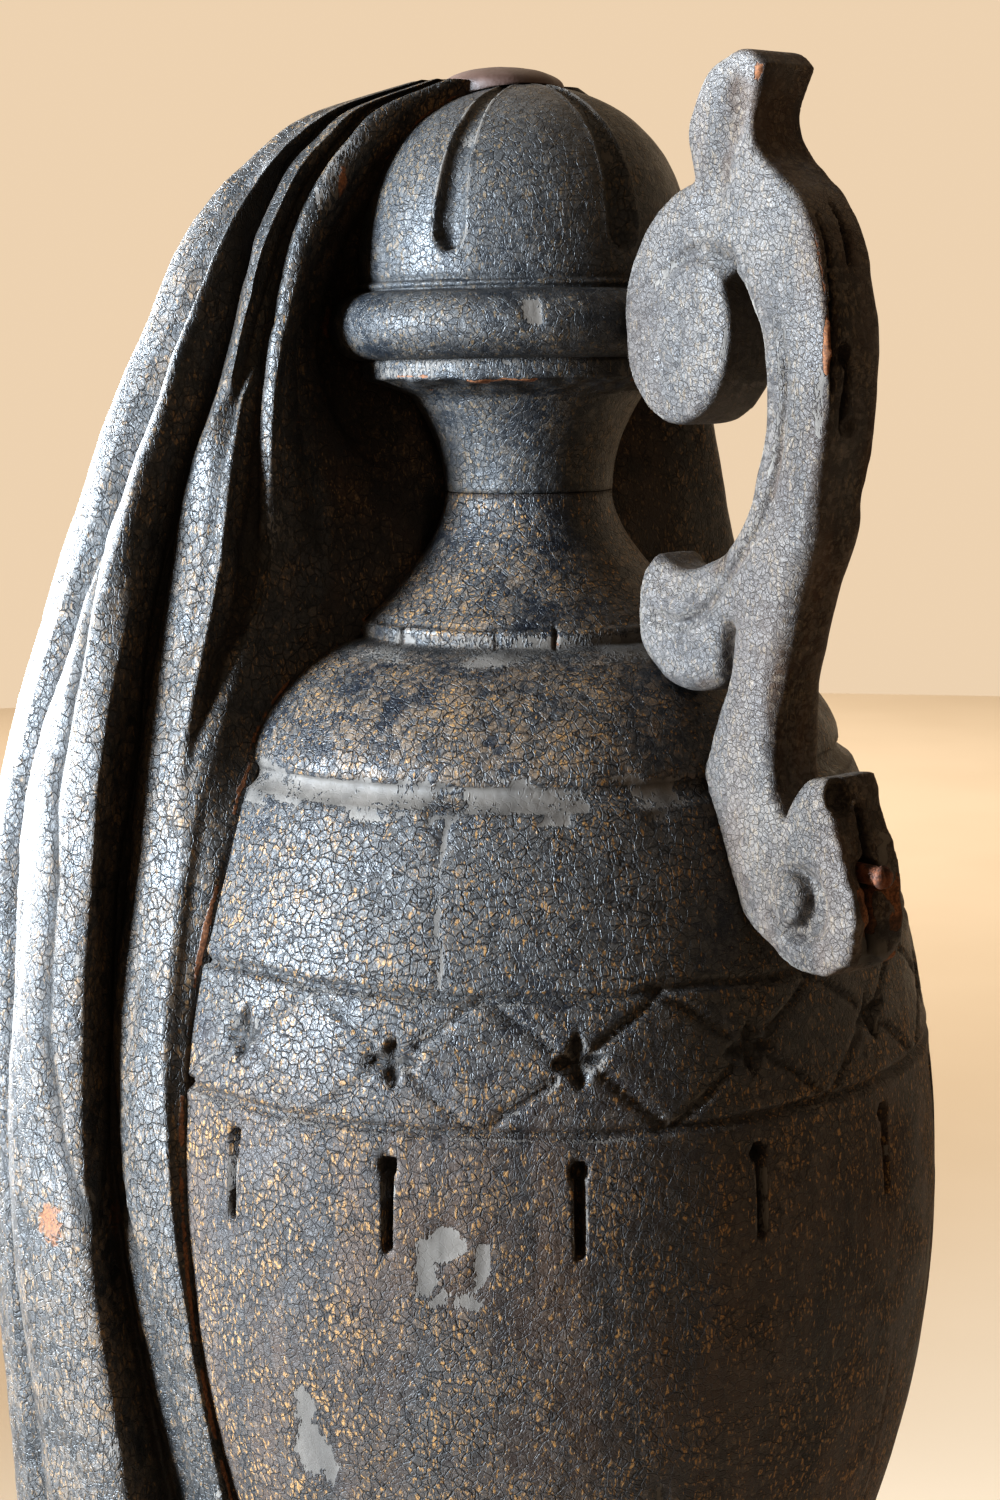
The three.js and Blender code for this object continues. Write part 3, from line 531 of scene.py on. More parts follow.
def star_marks(marks, k, theta, z, p, zw, radius, belly):
    """One star of the band, with its four arms towards the furrows and its keyhole below."""
    angle = wrapped(STAR_TURN + k * STAR_PITCH)
    seed = np.random.default_rng(500 + k)
    middle = (BAND_TOP + BAND_BASE) / 2
    u = arc(theta, angle, radius)
    near_star = (np.abs(u) < 44) & (np.abs(z - middle) < 40) & belly
    uw = u + 0.9 * noise(p, 12, 17)
    # In the arms and petals the darkened cuts are painted shade, with dirt, and the pale edges beside them are painted
    # highlights on worn paint.
    for side in (-1, 1):
        for sign in (-1, 1):
            start = (side * (7.0 + seed.uniform(-1, 2)), middle + sign * (4.5 + seed.uniform(-1, 1)))
            end = (side * (np.radians(STAR_PITCH / 2) * BELLY_RADIUS * 0.97 - seed.uniform(0, 3.5)),
                   middle + sign * (BAND_HEIGHT / 2 - seed.uniform(0.0, 2.0)))
            near, share = gaps_from_line(uw, zw, start, end)
            depth = trough(near, 1.75 * (1 - 0.25 * share), 2.0) * near_star
            marks.sink(depth, dirt=0.55 * step(0.9, 1.9, depth),
                       bare=0.75 * bell(near - 1.9, 0.8) * near_star * step(-0.2, 0.4, noise(p, 8, 19)))
    for petal in range(4):
        turn = math.radians(petal * 90 + seed.uniform(-14, 14) + 6)
        reach = 8.2 + seed.uniform(-1.4, 1.4)
        tip = (reach * math.cos(turn), middle + reach * 0.95 * math.sin(turn))
        near, share = gaps_from_line(uw, zw, (0, middle), tip)
        width = 0.7 + 2.8 * np.sin(np.clip(share, 0, 1) * math.pi * 0.85 + 0.3)
        depth = trough(near, width, 3.6, 0.7) * near_star
        marks.move = np.where(depth > 0, np.minimum(marks.move, marks.move * 0.2 - depth), marks.move)
        marks.add(dirt=0.78 * step(1.4, 3.0, depth),
                  bare=0.7 * bell(near - width, 1.0) * near_star * step(-0.3, 0.3, noise(p, 6, 21)))
    # The keyholes' darkened insides are painted shade, with dirt.
    if abs(angle) < SLOTS_WITHIN:
        top = BAND_BASE - SLOT_BELOW_BAND
        half = 1.8 - 0.7 * np.clip((top - z) / SLOT_LENGTH, 0, 1) + 0.3 * noise(p, 5, 23)
        in_slot = (z < top + 1) & (z > top - SLOT_LENGTH)
        stem = step(0.5, -0.5, np.abs(u) - half) * in_slot
        hole = step(0.6, -0.6, np.hypot(u, z - top - 1.6) - 3.0 - 0.4 * noise(p, 5, 25))
        cut = np.maximum(stem, hole) * belly * (np.abs(u) < 10)
        marks.sink((7.5 + 3.0 * noise(p, 6, 27)) * cut, dirt=cut * (0.75 + 0.4 * noise(p, 5, 29)),
                   bare=0.8 * bell(np.abs(u) - half - 0.6, 0.7) * in_slot * (noise(p, 6, 30) > 0) * belly)


# Flaked patches, as angle, drop below the seam, half width, half height, seed
PATCHES = [
    (-47, 243, 7.5, 4.5, 31), (-45, 262, 8.5, 3.5, 32), (-50, 254, 3.2, 7, 33), (-42.5, 250, 3.0, 9, 34),
    (-67.5, 316, 5.5, 17, 35), (-64.5, 330, 4, 9, 36), (38, 296, 7, 12, 37), (75, 262, 6, 5, 38)]
# Upright splits, as angle, top and bottom below the seam, seed
SPLITS = [(-50, 104, 159, 41), (21, 300, 372, 42), (66, 104, 139, 43), (-20, 330, 400, 44)]
COLLAR_SPLITS = (-46, -28, -79, 12, 51, 84)


def urn_relief(theta, r, z, p):
    """Furrows, stars, keyholes, chips and splits of the vessel."""
    outer = (z < SEAM - 0.01) & (r > BORE_RADIUS + 2)
    level = z - SEAM
    marks = Marks(0.55 * noise(p, 70, 3) + 0.25 * noise(p, 22, 4) + 0.12 * noise(p, 7, 5))
    radius = belly_at(z)
    zw = z + 1.1 * noise(p, 34, 11) + 0.4 * noise(p, 9, 12)
    belly = z < LEDGE_BASE - 1
    for line in (BAND_TOP, BAND_BASE):
        # The furrows' bottoms are darkened as painted shade, with dirt.
        near = np.abs(zw - line)
        depth = trough(near, 2.1, 2.1) * belly
        worn_edge = step(-0.3, 0.3, noise(p, 13, 14)) * bell(zw - line + 1.9, 1.0)
        marks.sink(depth - 0.35 * bell(near - 3.6, 1.2) * belly, dirt=0.55 * step(1.0, 2.1, depth),
                   bare=0.62 * worn_edge * belly)
    for k in range(STAR_COUNT):
        if abs(wrapped(STAR_TURN + k * STAR_PITCH)) <= STARS_WITHIN:
            star_marks(marks, k, theta, z, p, zw, radius, belly)
    for angle, drop, wide, tall, seed in PATCHES:
        size = np.sqrt((arc(theta, angle, radius) / wide) ** 2 + ((level + drop) / tall) ** 2)
        patch = step(1.25, 0.75, size + 0.55 * noise(p, 7, seed) + 0.25 * noise(p, 3, seed)) * belly
        marks.sink(0.7 * patch, bare=patch)
    for angle, high, low, seed in SPLITS:
        u = arc(theta, angle, radius) + 1.4 * noise(p, 25, seed) + 0.05 * (level + high)
        inside = step(-low - 6, -low + 6, level) * step(-high + 3, -high - 3, level) * belly
        marks.sink(0.9 * bell(u, 0.9) * inside, bare=bell(u - 0.4, 1.1) * inside)

    # the ledge: bare smooth wood below the shoulder's chipped paint
    ledge = step(LEDGE_BASE + 0.2, LEDGE_BASE + 1.2, z) * step(LEDGE_TOP + 0.2, LEDGE_TOP - 0.8, z) * outer
    ragged = fbm(p, 11, 51)
    lost = step(0.02, 0.16, ragged) * outer
    fallen = step(LEDGE_BASE - 3.0, LEDGE_BASE - 1.5, z + 3.0 * ragged) * (z <= LEDGE_BASE + 0.5) * lost
    chipped = step(LEDGE_TOP + 2.5, LEDGE_TOP + 1, z - 3.0 * ragged) * (z >= LEDGE_TOP - 0.5) * lost
    kept_paint = step(0.1, 0.45, noise(p, 16, 53) + 0.35 * step(-48, -20, theta) - 0.25)
    marks.sink(0.6 * (fallen + chipped), bare=np.maximum(
        ledge * (0.72 + 0.3 * noise(p, 7, 54) - 0.55 * kept_paint), 0.8 * np.maximum(fallen, chipped)))
    # dark lines at the ledge's foot and under the shoulder's edge: painted shade in the corners, with dirt
    marks.add(dirt=0.6 * bell(z - LEDGE_BASE - 0.4, 0.7) * outer * (0.7 + 0.5 * noise(p, 8, 52)))
    marks.add(dirt=0.6 * bell(z - LEDGE_TOP + 1.0, 0.9) * outer * (0.6 + 0.5 * noise(p, 9, 55)))

    # the collar: small upright splits darkened as painted shade with dirt, dirt and painted shade at its foot and a
    # worn top edge
    collar_base, collar_top = -COLLAR_DROP - COLLAR_HEIGHT, -COLLAR_DROP
    collar = step(collar_base - 0.5, collar_base + 0.5, level) * step(collar_top + 1, collar_top, level)
    for angle in COLLAR_SPLITS:
        u = arc(theta, angle, COLLAR_RADIUS) + 0.5 * noise(p, 6, 61)
        marks.sink(1.4 * bell(u, 0.7) * collar, dirt=0.8 * bell(u, 0.6) * collar,
                   chip=0.55 * bell(u - 1.0, 0.6) * collar)
    pale = step(-60, -56, level) * step(-47, -49, level) * outer
    marks.add(dirt=0.6 * bell(level - collar_base + 0.3, 1.4) * outer,
              bare=0.62 * pale * (0.75 + 0.6 * noise(p, 14, 63)))
    marks.sink(0.9 * bell(level - collar_top, 0.9) * outer * (0.6 + noise(p, 9, 64)))

    # flat bare spots where the paint of the shoulder has come off; brown stain low on the belly, and a brown darkening
    # towards the side turned from the window, which is painted shade
    shoulder = step(-94, -90, level) * step(-53, -58, level) * outer
    stain = step(-165, -235, level) * (0.62 + 0.35 * noise(p, 55, 72)) + 0.3 * step(-20, 45, theta) * belly
    marks.add(bare=shoulder * step(0.42, 0.6, fbm(p, 24, 66)), stain=np.where(outer, stain, INSIDE_STAIN_AND_SHADE),
              worn=0.05 + 0.45 * noise(p, 60, 71) + 0.65 * step(-104, -92, level) * step(-6, -20, level))
    # the unseen inside is darkened as painted shade
    marks.masks["dirt"] = np.where(outer, marks.masks["dirt"], INSIDE_SHADE)
    marks.move = np.where(outer & (np.abs(z - SEAM) >= 0.5), marks.move, 0.0)
    return marks


def make_body(material):
    # spacing of the rows, closest at the furrows and stars: from each drop below the seam downwards
    drops, gaps = [106, 156, 164, 201, 209, 250, 400], [2.5, 2.6, 1.0, 1.5, 1.0, 1.7, 3.6, 5.0]

    def spacing(q):
        return np.array(gaps)[np.searchsorted(drops, SEAM - q[:, 1])]
    shoulder = shoulder_line()
    ledge_radius = shoulder[0, 0]
    belly_edge = float(belly_at(LEDGE_BASE))
    ledge = [[belly_edge, LEDGE_BASE], [belly_edge - 0.8, LEDGE_BASE + 0.9], [ledge_radius + 2.4, LEDGE_BASE + 2.6],
             [ledge_radius + 0.2, LEDGE_BASE + 4.6], [ledge_radius - 0.9, LEDGE_TOP - 2.4],
             [ledge_radius - 1.0, LEDGE_TOP - 0.9], [ledge_radius, LEDGE_TOP]]
    low, high = SEAM - COLLAR_DROP - COLLAR_HEIGHT, SEAM - COLLAR_DROP
    collar = [[COLLAR_RADIUS + 1, low], [COLLAR_RADIUS - 0.6, low + 0.8], [COLLAR_RADIUS, low + 1.8],
              [COLLAR_RADIUS, high - 1.2], [COLLAR_RADIUS - 0.9, high - 0.2], [COLLAR_RADIUS - 3, high + 0.3],
              list(neck_line()[0])]
    roof, floor = low - WALL / 2 - 8, BELLY_BASE + 2 * WALL
    inside = []
    for i in range(7):
        z = roof - (roof - floor) * (i / 6) ** 0.9
        inside.append([max(BORE_RADIUS, float(min(outline_radius(z + WALL / 3), outline_radius(z))) - WALL), z])
    profile = joined(
        walk([[0, BELLY_BASE], [FOOT_TOP, BELLY_BASE]], 12.0), walk(belly_line(), spacing), walk(ledge, 1.3),
        walk(shoulder, 2.3), walk(collar, 1.2), walk(neck_line(), 2.2),
        [[NECK_RADIUS - 0.4, SEAM], [BORE_RADIUS + 3, SEAM], [BORE_RADIUS, SEAM], [BORE_RADIUS, low]],
        inside, [[0, floor]])

    # columns, closest at the stars that show
    fine, coarse, near, shown = 0.40, 0.92, 3.2, 8
    first, last = STAR_TURN - 4 * STAR_PITCH, STAR_TURN + 4 * STAR_PITCH
    stretches = [(first - 8, first - near, coarse)]
    for k in range(shown + 1):
        angle = first + k * STAR_PITCH
        stretches.append((angle - near, angle + near, fine))
        if k < shown:
            stretches.append((angle + near, angle + STAR_PITCH - near, coarse))
    stretches += [(last + near, last + 14, coarse), (last + 14, first - 8 + 360, 7.0)]
    return turned("vessel", profile, spread(stretches), urn_relief, material, "urn_body")


# Lid and knob

def lid_relief(theta, r, z, p):
    marks = Marks(0.35 * noise(p, 50, 101) + 0.22 * noise(p, 16, 102) + 0.1 * noise(p, 6, 103))
    dome = z > DOME_BASE - 1
    rise = (z - DOME_BASE) / DOME_HEIGHT
    for k in range(FLUTE_COUNT):
        angle = wrapped(FLUTE_TURN + k * 360.0 / FLUTE_COUNT)
        if abs(angle) > FLUTES_WITHIN:
            continue
        along = np.clip((rise - 0.16) / 0.8, 0, 1.2)
        u = arc(theta, angle, np.maximum(r, 6.0)) + 0.5 * noise(p, 9, 105)
        end = np.clip((rise - 0.14) / 0.075, 0, 1)
        half = np.interp(along, [0, 0.15, 0.6, 1.0], [5.8, 6.2, 4.6, 2.6])
        half = half * np.sqrt(np.maximum(0, 1 - (1 - end) ** 2))
        bowl = np.sqrt(np.maximum(0, 1 - (u / np.maximum(half, 0.01)) ** 2)) * (rise > 0.14)
        bowl = bowl * np.clip((1.02 - rise) / 0.06, 0, 1) * dome
        depth = np.interp(along, [0, 0.3, 1.0], [4.8, 4.2, 2.0]) * bowl
        lip = bell(np.abs(u) - half - 0.5, 0.8) * (rise > 0.15) * dome
        # The flutes' deepest parts are darkened as painted shade, with dirt.
        marks.sink(depth - 0.35 * lip, dirt=0.35 * step(1.8, 4.0, depth),
                   bare=lip * (0.45 + 0.6 * step(0.0, 0.5, noise(p, 9, 107 + k))))
        marks.add(bare=0.9 * bell(rise - 0.62, 0.1) * bell(u, 4.5) * dome * (0.5 + noise(p, 6, 108)))
    # band under the dome, chipped, its chips darkened with dirt and painted shade
    band = step(DOME_BASE - DOME_BAND - 1, DOME_BASE - DOME_BAND + 0.4, z) * step(DOME_BASE + 1, DOME_BASE - 0.4, z)
    gaps = step(0.35, 0.55, fbm(p, 17, 111)) * band
    marks.sink(1.4 * gaps, dirt=0.7 * gaps)
    # dark lines at the band's edges and the roll's foot: painted shade in the corners, with dirt
    for line, width, share in ((DOME_BASE - DOME_BAND, 0.9, 0.55), (DOME_BASE + 0.4, 1.2, 0.5), (ROLL_BASE, 0.8, 0.6)):
        marks.add(dirt=share * bell(z - line, width))
    roll = step(ROLL_BASE, ROLL_BASE + 1, z) * step(ROLL_BASE + ROLL_THICKNESS, ROLL_BASE + ROLL_THICKNESS - 1, z)
    dent = step(0.45, 0.62, fbm(p, 21, 113)) * roll
    marks.sink(0.5 * dent, bare=0.8 * dent)
    fillet = step(FILLET_BASE - 0.5, FILLET_BASE + 0.5, z) * step(ROLL_BASE + 0.4, ROLL_BASE - 0.4, z)
    worn_edge = fillet * step(0.0, 0.35, noise(p, 10, 115))
    marks.add(chip=0.55 * worn_edge * bell(z - FILLET_BASE - 0.8, 1.2), bare=0.55 * worn_edge)
    # torn underside of the fillet, darkened in patches with dirt and painted shade, and a thin lip at the foot of the
    # lid's neck
    under = step(LID_BASE + LID_NECK - 3, FILLET_BASE - 1, z) * step(FILLET_BASE + 0.5, FILLET_BASE - 0.5, z)
    torn = fbm(p, 12, 118)
    marks.sink(-under * 1.1 * noise(p, 6, 117), chip=0.9 * under * step(0.15, 0.35, torn),
               dirt=0.6 * under * step(0.0, -0.3, torn))
    marks.sink(-0.8 * bell(z - LID_BASE - 0.6, 1.0) * (r > NECK_RADIUS - 2),
               worn=0.4 + 0.6 * noise(p, 45, 119) + 0.35 * step(SEAM + 44, SEAM + 30, z))
    marks.move = np.where(z < LID_BASE + 0.01, 0, marks.move)
    return marks


def make_lid(material):
    def spacing(q):
        z = q[:, 1]
        size = np.where(z > DOME_BASE + 8, 1.5, 1.6)
        size[(z > FILLET_BASE - 3) & (z < ROLL_BASE + 1.5)] = 0.9
        size[np.abs(z - DOME_BASE + 1.5) < 3.5] = 0.8
        size[z < FILLET_BASE - 3] = 2.0
        return size
    profile = joined(walk([[0, LID_BASE], [NECK_RADIUS, LID_BASE]], 10.0), walk(lid_line(), spacing))
    profile[-1] = [0, CROWN]
    angles = spread([(-110, 110, 0.85), (110, 250, 4.0)])
    return turned("lid_turned", profile, angles, lid_relief, material, "lid")


def make_knob(material):
    """The button, turned, then moved off the lid's axis and fitted over the dome."""
    rim, base = CROWN + KNOB_RISE - KNOB_CAP, CROWN - KNOB_DEPTH
    turn = np.linspace(0.0, 1, 20) * math.pi / 2
    top = np.stack([KNOB_RADIUS * np.cos(turn), rim + KNOB_CAP * np.sin(turn)], axis=-1)
    profile = joined(walk([[0, base], [KNOB_RADIUS - 1.0, base]], 3.0),
                     walk([[KNOB_RADIUS - 1.0, base], [KNOB_RADIUS, rim - 1.2], [KNOB_RADIUS, rim]], 1.2),
                     walk(top, 1.0))
    profile[-1] = [0, rim + KNOB_CAP]

    def relief(theta, r, z, p):
        marks = Marks(0.3 * noise(p, 18, 131) + 0.12 * noise(p, 5, 132))
        # painted shade under the cap's rim, with dirt
        marks.add(dirt=0.8 * step(rim - 0.5, rim - 3.5, z))
        return marks
    piece = turned("knob_turned", profile, spread([(-180, 180, 4.0)]), relief, material, "lid_knob")
    for vertex in piece.data.vertices:
        vertex.co.x -= KNOB_OFFSET / 1000
        share = min(1.0, math.hypot(vertex.co.x, vertex.co.y) * 1000 / DOME_RADIUS)
        surface = DOME_BASE + DOME_HEIGHT * (1 - share ** 2) ** 0.4 + REST_GAP
        vertex.co.z = max(vertex.co.z, min(surface, rim + KNOB_CAP) / 1000)
    piece.data.update()
    return piece


# Foot and plinth

def foot_line():
    rim = FOOT_BASE + FOOT_RIM
    top = BELLY_BASE - REST_GAP
    bead_base = top - FOOT_BEAD - 4
    turn = np.linspace(0, 1, 16) * math.pi / 2
    hollow = np.stack([FOOT_RADIUS - 5 - (FOOT_RADIUS - 5 - FOOT_WAIST) * np.sin(turn),
                       bead_base - (bead_base - rim - 3) * np.cos(turn)], axis=-1)
    turn = np.linspace(-0.5, 0.5, 14) * math.pi
    bead = np.stack([FOOT_BEAD_RADIUS - FOOT_BEAD / 2 * (1 - np.cos(turn)),
                     bead_base + FOOT_BEAD / 2 * (1 + np.sin(turn))], axis=-1)
    return joined(walk([[0, FOOT_BASE], [FOOT_RADIUS - 1, FOOT_BASE]], 14.0),
                  walk([[FOOT_RADIUS - 1, FOOT_BASE], [FOOT_RADIUS, FOOT_BASE + 1], [FOOT_RADIUS, rim - 1],
                        [FOOT_RADIUS - 1.2, rim]], 1.4),
                  walk([[FOOT_RADIUS - 1.2, rim], [FOOT_RADIUS - 5, rim + 3]], 1.5),
                  walk(hollow, 2.2), walk(bead, 1.4), walk([[FOOT_TOP - 2, top - 3], [FOOT_TOP, top]], 1.5),
                  walk([[FOOT_TOP, top], [0, top]], 12.0))


def foot_relief(theta, r, z, p):
    rim, top = FOOT_BASE + FOOT_RIM, BELLY_BASE - REST_GAP
    edge = bell(z - rim, 1.4) + bell(z - rim - 3, 1.0)
    chips = edge * step(0.25, 0.5, fbm(p, 15, 143))
    marks = Marks(0.4 * noise(p, 40, 141) + 0.2 * noise(p, 12, 142) - 1.2 * chips)
    # dark lines in the creases at the bead's foot and above it: painted shade, with dirt
    marks.add(dirt=0.6 * bell(z - (top - 3), 1.6) + 0.5 * bell(z - (top - 16), 1.6), chip=0.8 * chips,
              bare=0.8 * np.clip(edge, 0, 1) * step(-0.1, 0.4, noise(p, 12, 144)), worn=0.5 + 0.5 * noise(p, 40, 146))
    marks.add(bare=step(0.45, 0.6, fbm(p, 22, 145)))
    marks.move = np.where((z < FOOT_BASE + 0.01) | (z > top - 0.01), 0, marks.move)
    return marks


def make_foot(material):
    return turned("foot_turned", foot_line(), spread([(-180, 180, 2.0)]), foot_relief, material, "foot")


def make_plinth(material):
    """A square block with softened, chipped edges: rings of a rounded square."""
    half, corner, flat_floor = PLINTH_SIDE / 2, 1.8, 0.5
    top_edge = PLINTH_HEIGHT - PLINTH_CHAMFER
    side = [(half, v) for v in np.linspace(-(half - corner), half - corner, 56)]
    for turn in (math.radians(30), math.radians(60)):
        side.append((half - corner + corner * math.cos(turn), half - corner + corner * math.sin(turn)))
    side = np.array(side)
    loop = np.concatenate([side, side[:, ::-1] * (-1, 1), -side, side[:, ::-1] * (1, -1)])
    # rings, as inset and height
    rings = [(1.0, 0.0), (0.0, 1.0)] + [(0.0, v) for v in np.linspace(3, top_edge, 13)]
    rings += [(v, top_edge + v) for v in np.linspace(1, PLINTH_CHAMFER, 5)]
    rings += [(v, PLINTH_HEIGHT) for v in (8, 10.5, 13, 16, 20, 25, 31, 38, 46, 55, 66, 80)]
    p = np.array([np.column_stack([loop * ((half - inset) / half), np.full(len(loop), z)]) for inset, z in rings])
    z = p[..., 2].copy()
    out = np.max(np.abs(p[..., :2]), axis=-1)
    edge = bell(z - top_edge, 2.0) + bell(z - PLINTH_HEIGHT, 1.6) * bell(out - half + PLINTH_CHAMFER, 3)
    at_corner = step(half - 6, half, np.min(np.abs(p[..., :2]), axis=-1))
    chips = np.clip(edge + at_corner, 0, 1) * step(0.2, 0.45, fbm(p, 17, 151))
    flat = z > PLINTH_HEIGHT - 0.01
    move = np.minimum(-(0.3 + 0.5 * noise(p, 30, 152)) - 1.5 * chips, 0) * (z >= flat_floor) * ~flat
    p[..., :2] *= 1 + move[..., None] / half
    p[..., 2] = np.where(flat, z - 0.15 + 0.15 * noise(p, 25, 153), z)
    worn_edge = 0.85 * np.clip(edge, 0, 1) * step(-0.1, 0.3, noise(p, 14, 154))
    # darker towards the bottom of the block, where it meets the floor
    masks = {"dirt": 0.5 * step(6, 0, z), "bare": np.maximum(worn_edge, step(0.42, 0.6, fbm(p, 26, 156))),
             "chip": 0.8 * chips, "worn": 0.5 + 0.5 * noise(p, 50, 155)}
    points, faces = capped(p, [0, 0, 0], [0, 0, PLINTH_HEIGHT - 0.1])
    return lay("plinth_block", points, faces, material, "plinth", flat_masks(masks, z.shape))


# Cloth: fold lines from the front edge towards the back, as in the solids

CLOTH_STATIONS = [CROWN - 14, ROLL_BASE + 11, SEAM - 20, LEDGE_TOP - 6, BAND_BASE + 5, HEM_HEIGHT]
CLOTH_OUTLINE = [
    (-600, 0.94), (-500, 0.953), (-380, 0.972), (-265, 1), (-200, 0.991), (-99, 0.93), (-44, 0.852),
    (24, 0.736), (63, 0.657), (103, 0.56), (127, 0.449), (141, 0.343), (148, 0.235), (152, 0.17)]
SEEN_FOLDS = [
    ([78, 56, 72, 87.5, 90, 97], [0.54, 0.55, 0.32, 0.617, 0.705, 0.64]),
    ([79, 70, 76, 87, 90, 97.3], [0.573, 0.604, 0.463, 0.647, 0.72, 0.654]),
    ([80, 80, 80, 86.5, 89.7, 97.6], [0.61, 0.674, 0.605, 0.677, 0.733, 0.668]),
    ([79, 79, 79, 86, 89.5, 98], [0.72, 0.695, 0.618, 0.697, 0.743, 0.683]),
    ([75, 75, 77, 85, 89.3, 98.2], [0.73, 0.715, 0.66, 0.712, 0.752, 0.692]),
    ([75, 75, 81, 84, 89, 98], [0.74, 0.735, 0.712, 0.726, 0.757, 0.702]),
    ([74, 75, 76, 80, 84, 93], [0.76, 0.76, 0.74, 0.75, 0.775, 0.712]),
    ([77, 77, 70, 77, 79, 88.5], [0.82, 0.785, 0.77, 0.765, 0.785, 0.715]),
    ([68, 68, 68, 73, 76, 86], [0.866, 0.79, 0.78, 0.771, 0.79, 0.72]),
    ([69, 69, 72, 79, 80, 88], [0.89, 0.83, 0.84, 0.851, 0.846, 0.84]),
    ([70, 70, 72, 73, 72, 77], [0.93, 0.896, 0.9, 0.91, 0.935, 0.914]),
    ([65, 65, 66, 68, 66, 70], [0.935, 0.917, 0.94, 0.95, 0.95, 0.94])]
HIDDEN_FOLDS = [
    ([-66, -66, -66, -66, -66, -68], [0.97, 0.97, 0.96, 0.96, 0.96, 0.95]),
    ([-68, -68, -69, -72, -74, -78], [0.8, 0.78, 0.78, 0.79, 0.8, 0.76]),
    ([-79, -79, -80, -82, -84, -88], [0.72, 0.71, 0.7, 0.75, 0.78, 0.75]),
    ([-80, -80, -81, -86, -88, -92], [0.61, 0.674, 0.61, 0.69, 0.745, 0.69]),
    ([-78, -58, -74, -86.5, -88.5, -93], [0.54, 0.56, 0.34, 0.62, 0.7, 0.63])]
SEEN_EDGE = [77, 50, 70, 88, 90, 97]
HIDDEN_EDGE = [-77, -52, -72, -87, -89, -93]
BACK_FOLDS, BACK_PITCH, BACK_DEPTH = 3, 20.0, 0.075
# Carved creases: heights from the seam going down, turns from the cloth's middle, half width, depth, darkening by dirt
# and painted shade, seed
CREASES = [
    ([110, 87, 35, -12, -57, -117, -250, -430], [66.5, 66.5, 65.5, 65.8, 66.3, 66, 66.5, 67.5], 6.0, 7.0, 0.75, 301),
    ([128, 105, 83, 62, 38, 12, -12], [74.8, 75, 74.9, 75.8, 75.3, 76.1, 77], 2.6, 3.2, 0.8, 303),
    ([134, 98, 68, 34, -12, -65, -97, -133, -193, -232, -269, -310, -351, -430],
     [69, 69, 68, 68, 68, 72, 73, 75.7, 75.8, 78.3, 83, 85.7, 88, 90], 3.6, 2.2, 0.95, 305),
    ([-150, -190, -230, -300, -420], [69.8, 70.2, 71.8, 73.2, 74.5], 2.0, -1.2, 0.0, 307),
    ([100, 40, -40, -140, -260, -430], [-64, -63, -64, -65, -65.5, -66.5], 5.5, 5.5, 0.7, 309),
    ([100, 40, -40, -140, -260, -430], [-72, -71, -72, -75, -79, -86], 3.6, 2.4, 0.9, 311)]
GOUGE_COUNT = 15
CLOTH_ROWS, CLOTH_COLUMNS, CLOTH_INNER_COLUMNS = 236, 372, 30
# The lip and the hollow under the hem, as share of the thickness inwards and rise; masks of what is hidden there,
# darkened under the hem as painted shade
HEM_RINGS = [(0.04, 0.5), (0.12, 3.0), (0.5, 22.0), (0.65, 30.0)]
HEM_MASKS = {"dirt": 0.6, "chip": 0.0, "bare": 0.0, "worn": 0.5, "stain": 0.8}


def around(turns, radius):
    """Points round the axis, from turns in degrees from the cloth's side."""
    turn = np.radians(180 + turns)
    return np.stack([radius * np.cos(turn), radius * np.sin(turn)], axis=-1)


def cloth_knots(z):
    """The cross-section's control points at height z, as turn and radius, from the seen to the hidden edge."""
    places = [CROWN - s for s in CLOTH_STATIONS]
    at = np.clip(CROWN - z, places[0], places[-1])
    heights, shares = zip(*CLOTH_OUTLINE)
    reach = (BELLY_RADIUS + CLOTH_SPREAD) * float(through(heights, shares, np.clip(z - SEAM, heights[0], heights[-1])))
    core = max(4.0, float(outline_radius(min(z, CROWN - 3))) - 2.0)

    def here(values):
        return float(through(places, values, at))

    def folds(lines):
        return [(here(turn), max(reach * here(share), core + 1)) for turn, share in lines]
    back = []
    for k in range(BACK_FOLDS, -BACK_FOLDS - 1, -1):
        back += [(k * BACK_PITCH, reach), ((k - 0.5) * BACK_PITCH, reach * (1 - BACK_DEPTH))]
    return np.array([(here(SEEN_EDGE), core), *folds(SEEN_FOLDS), *back[:-1], *folds(HIDDEN_FOLDS),
                     (here(HIDDEN_EDGE), core)])


def cloth_line(flat, where):
    """Rounded folds: a cubic through the knots, pulled a little towards straight runs between them."""
    gaps = np.linalg.norm(np.diff(flat, axis=0), axis=1) ** 0.5
    places = np.concatenate([[0], np.cumsum(np.maximum(gaps, 0.3))])
    at = np.interp(where, np.arange(len(flat)), places)
    return np.stack([0.8 * through(places, flat[:, k], at) + 0.2 * np.interp(at, places, flat[:, k])
                     for k in (0, 1)], axis=-1)


def bends(line):
    """How sharply a line turns at each of its points but the ends."""
    a, b = line[1:-1] - line[:-2], line[2:] - line[1:-1]
    cross = a[:, 0] * b[:, 1] - a[:, 1] * b[:, 0]
    return cross / np.maximum(1e-6, np.linalg.norm(a, axis=1) * np.linalg.norm(b, axis=1))


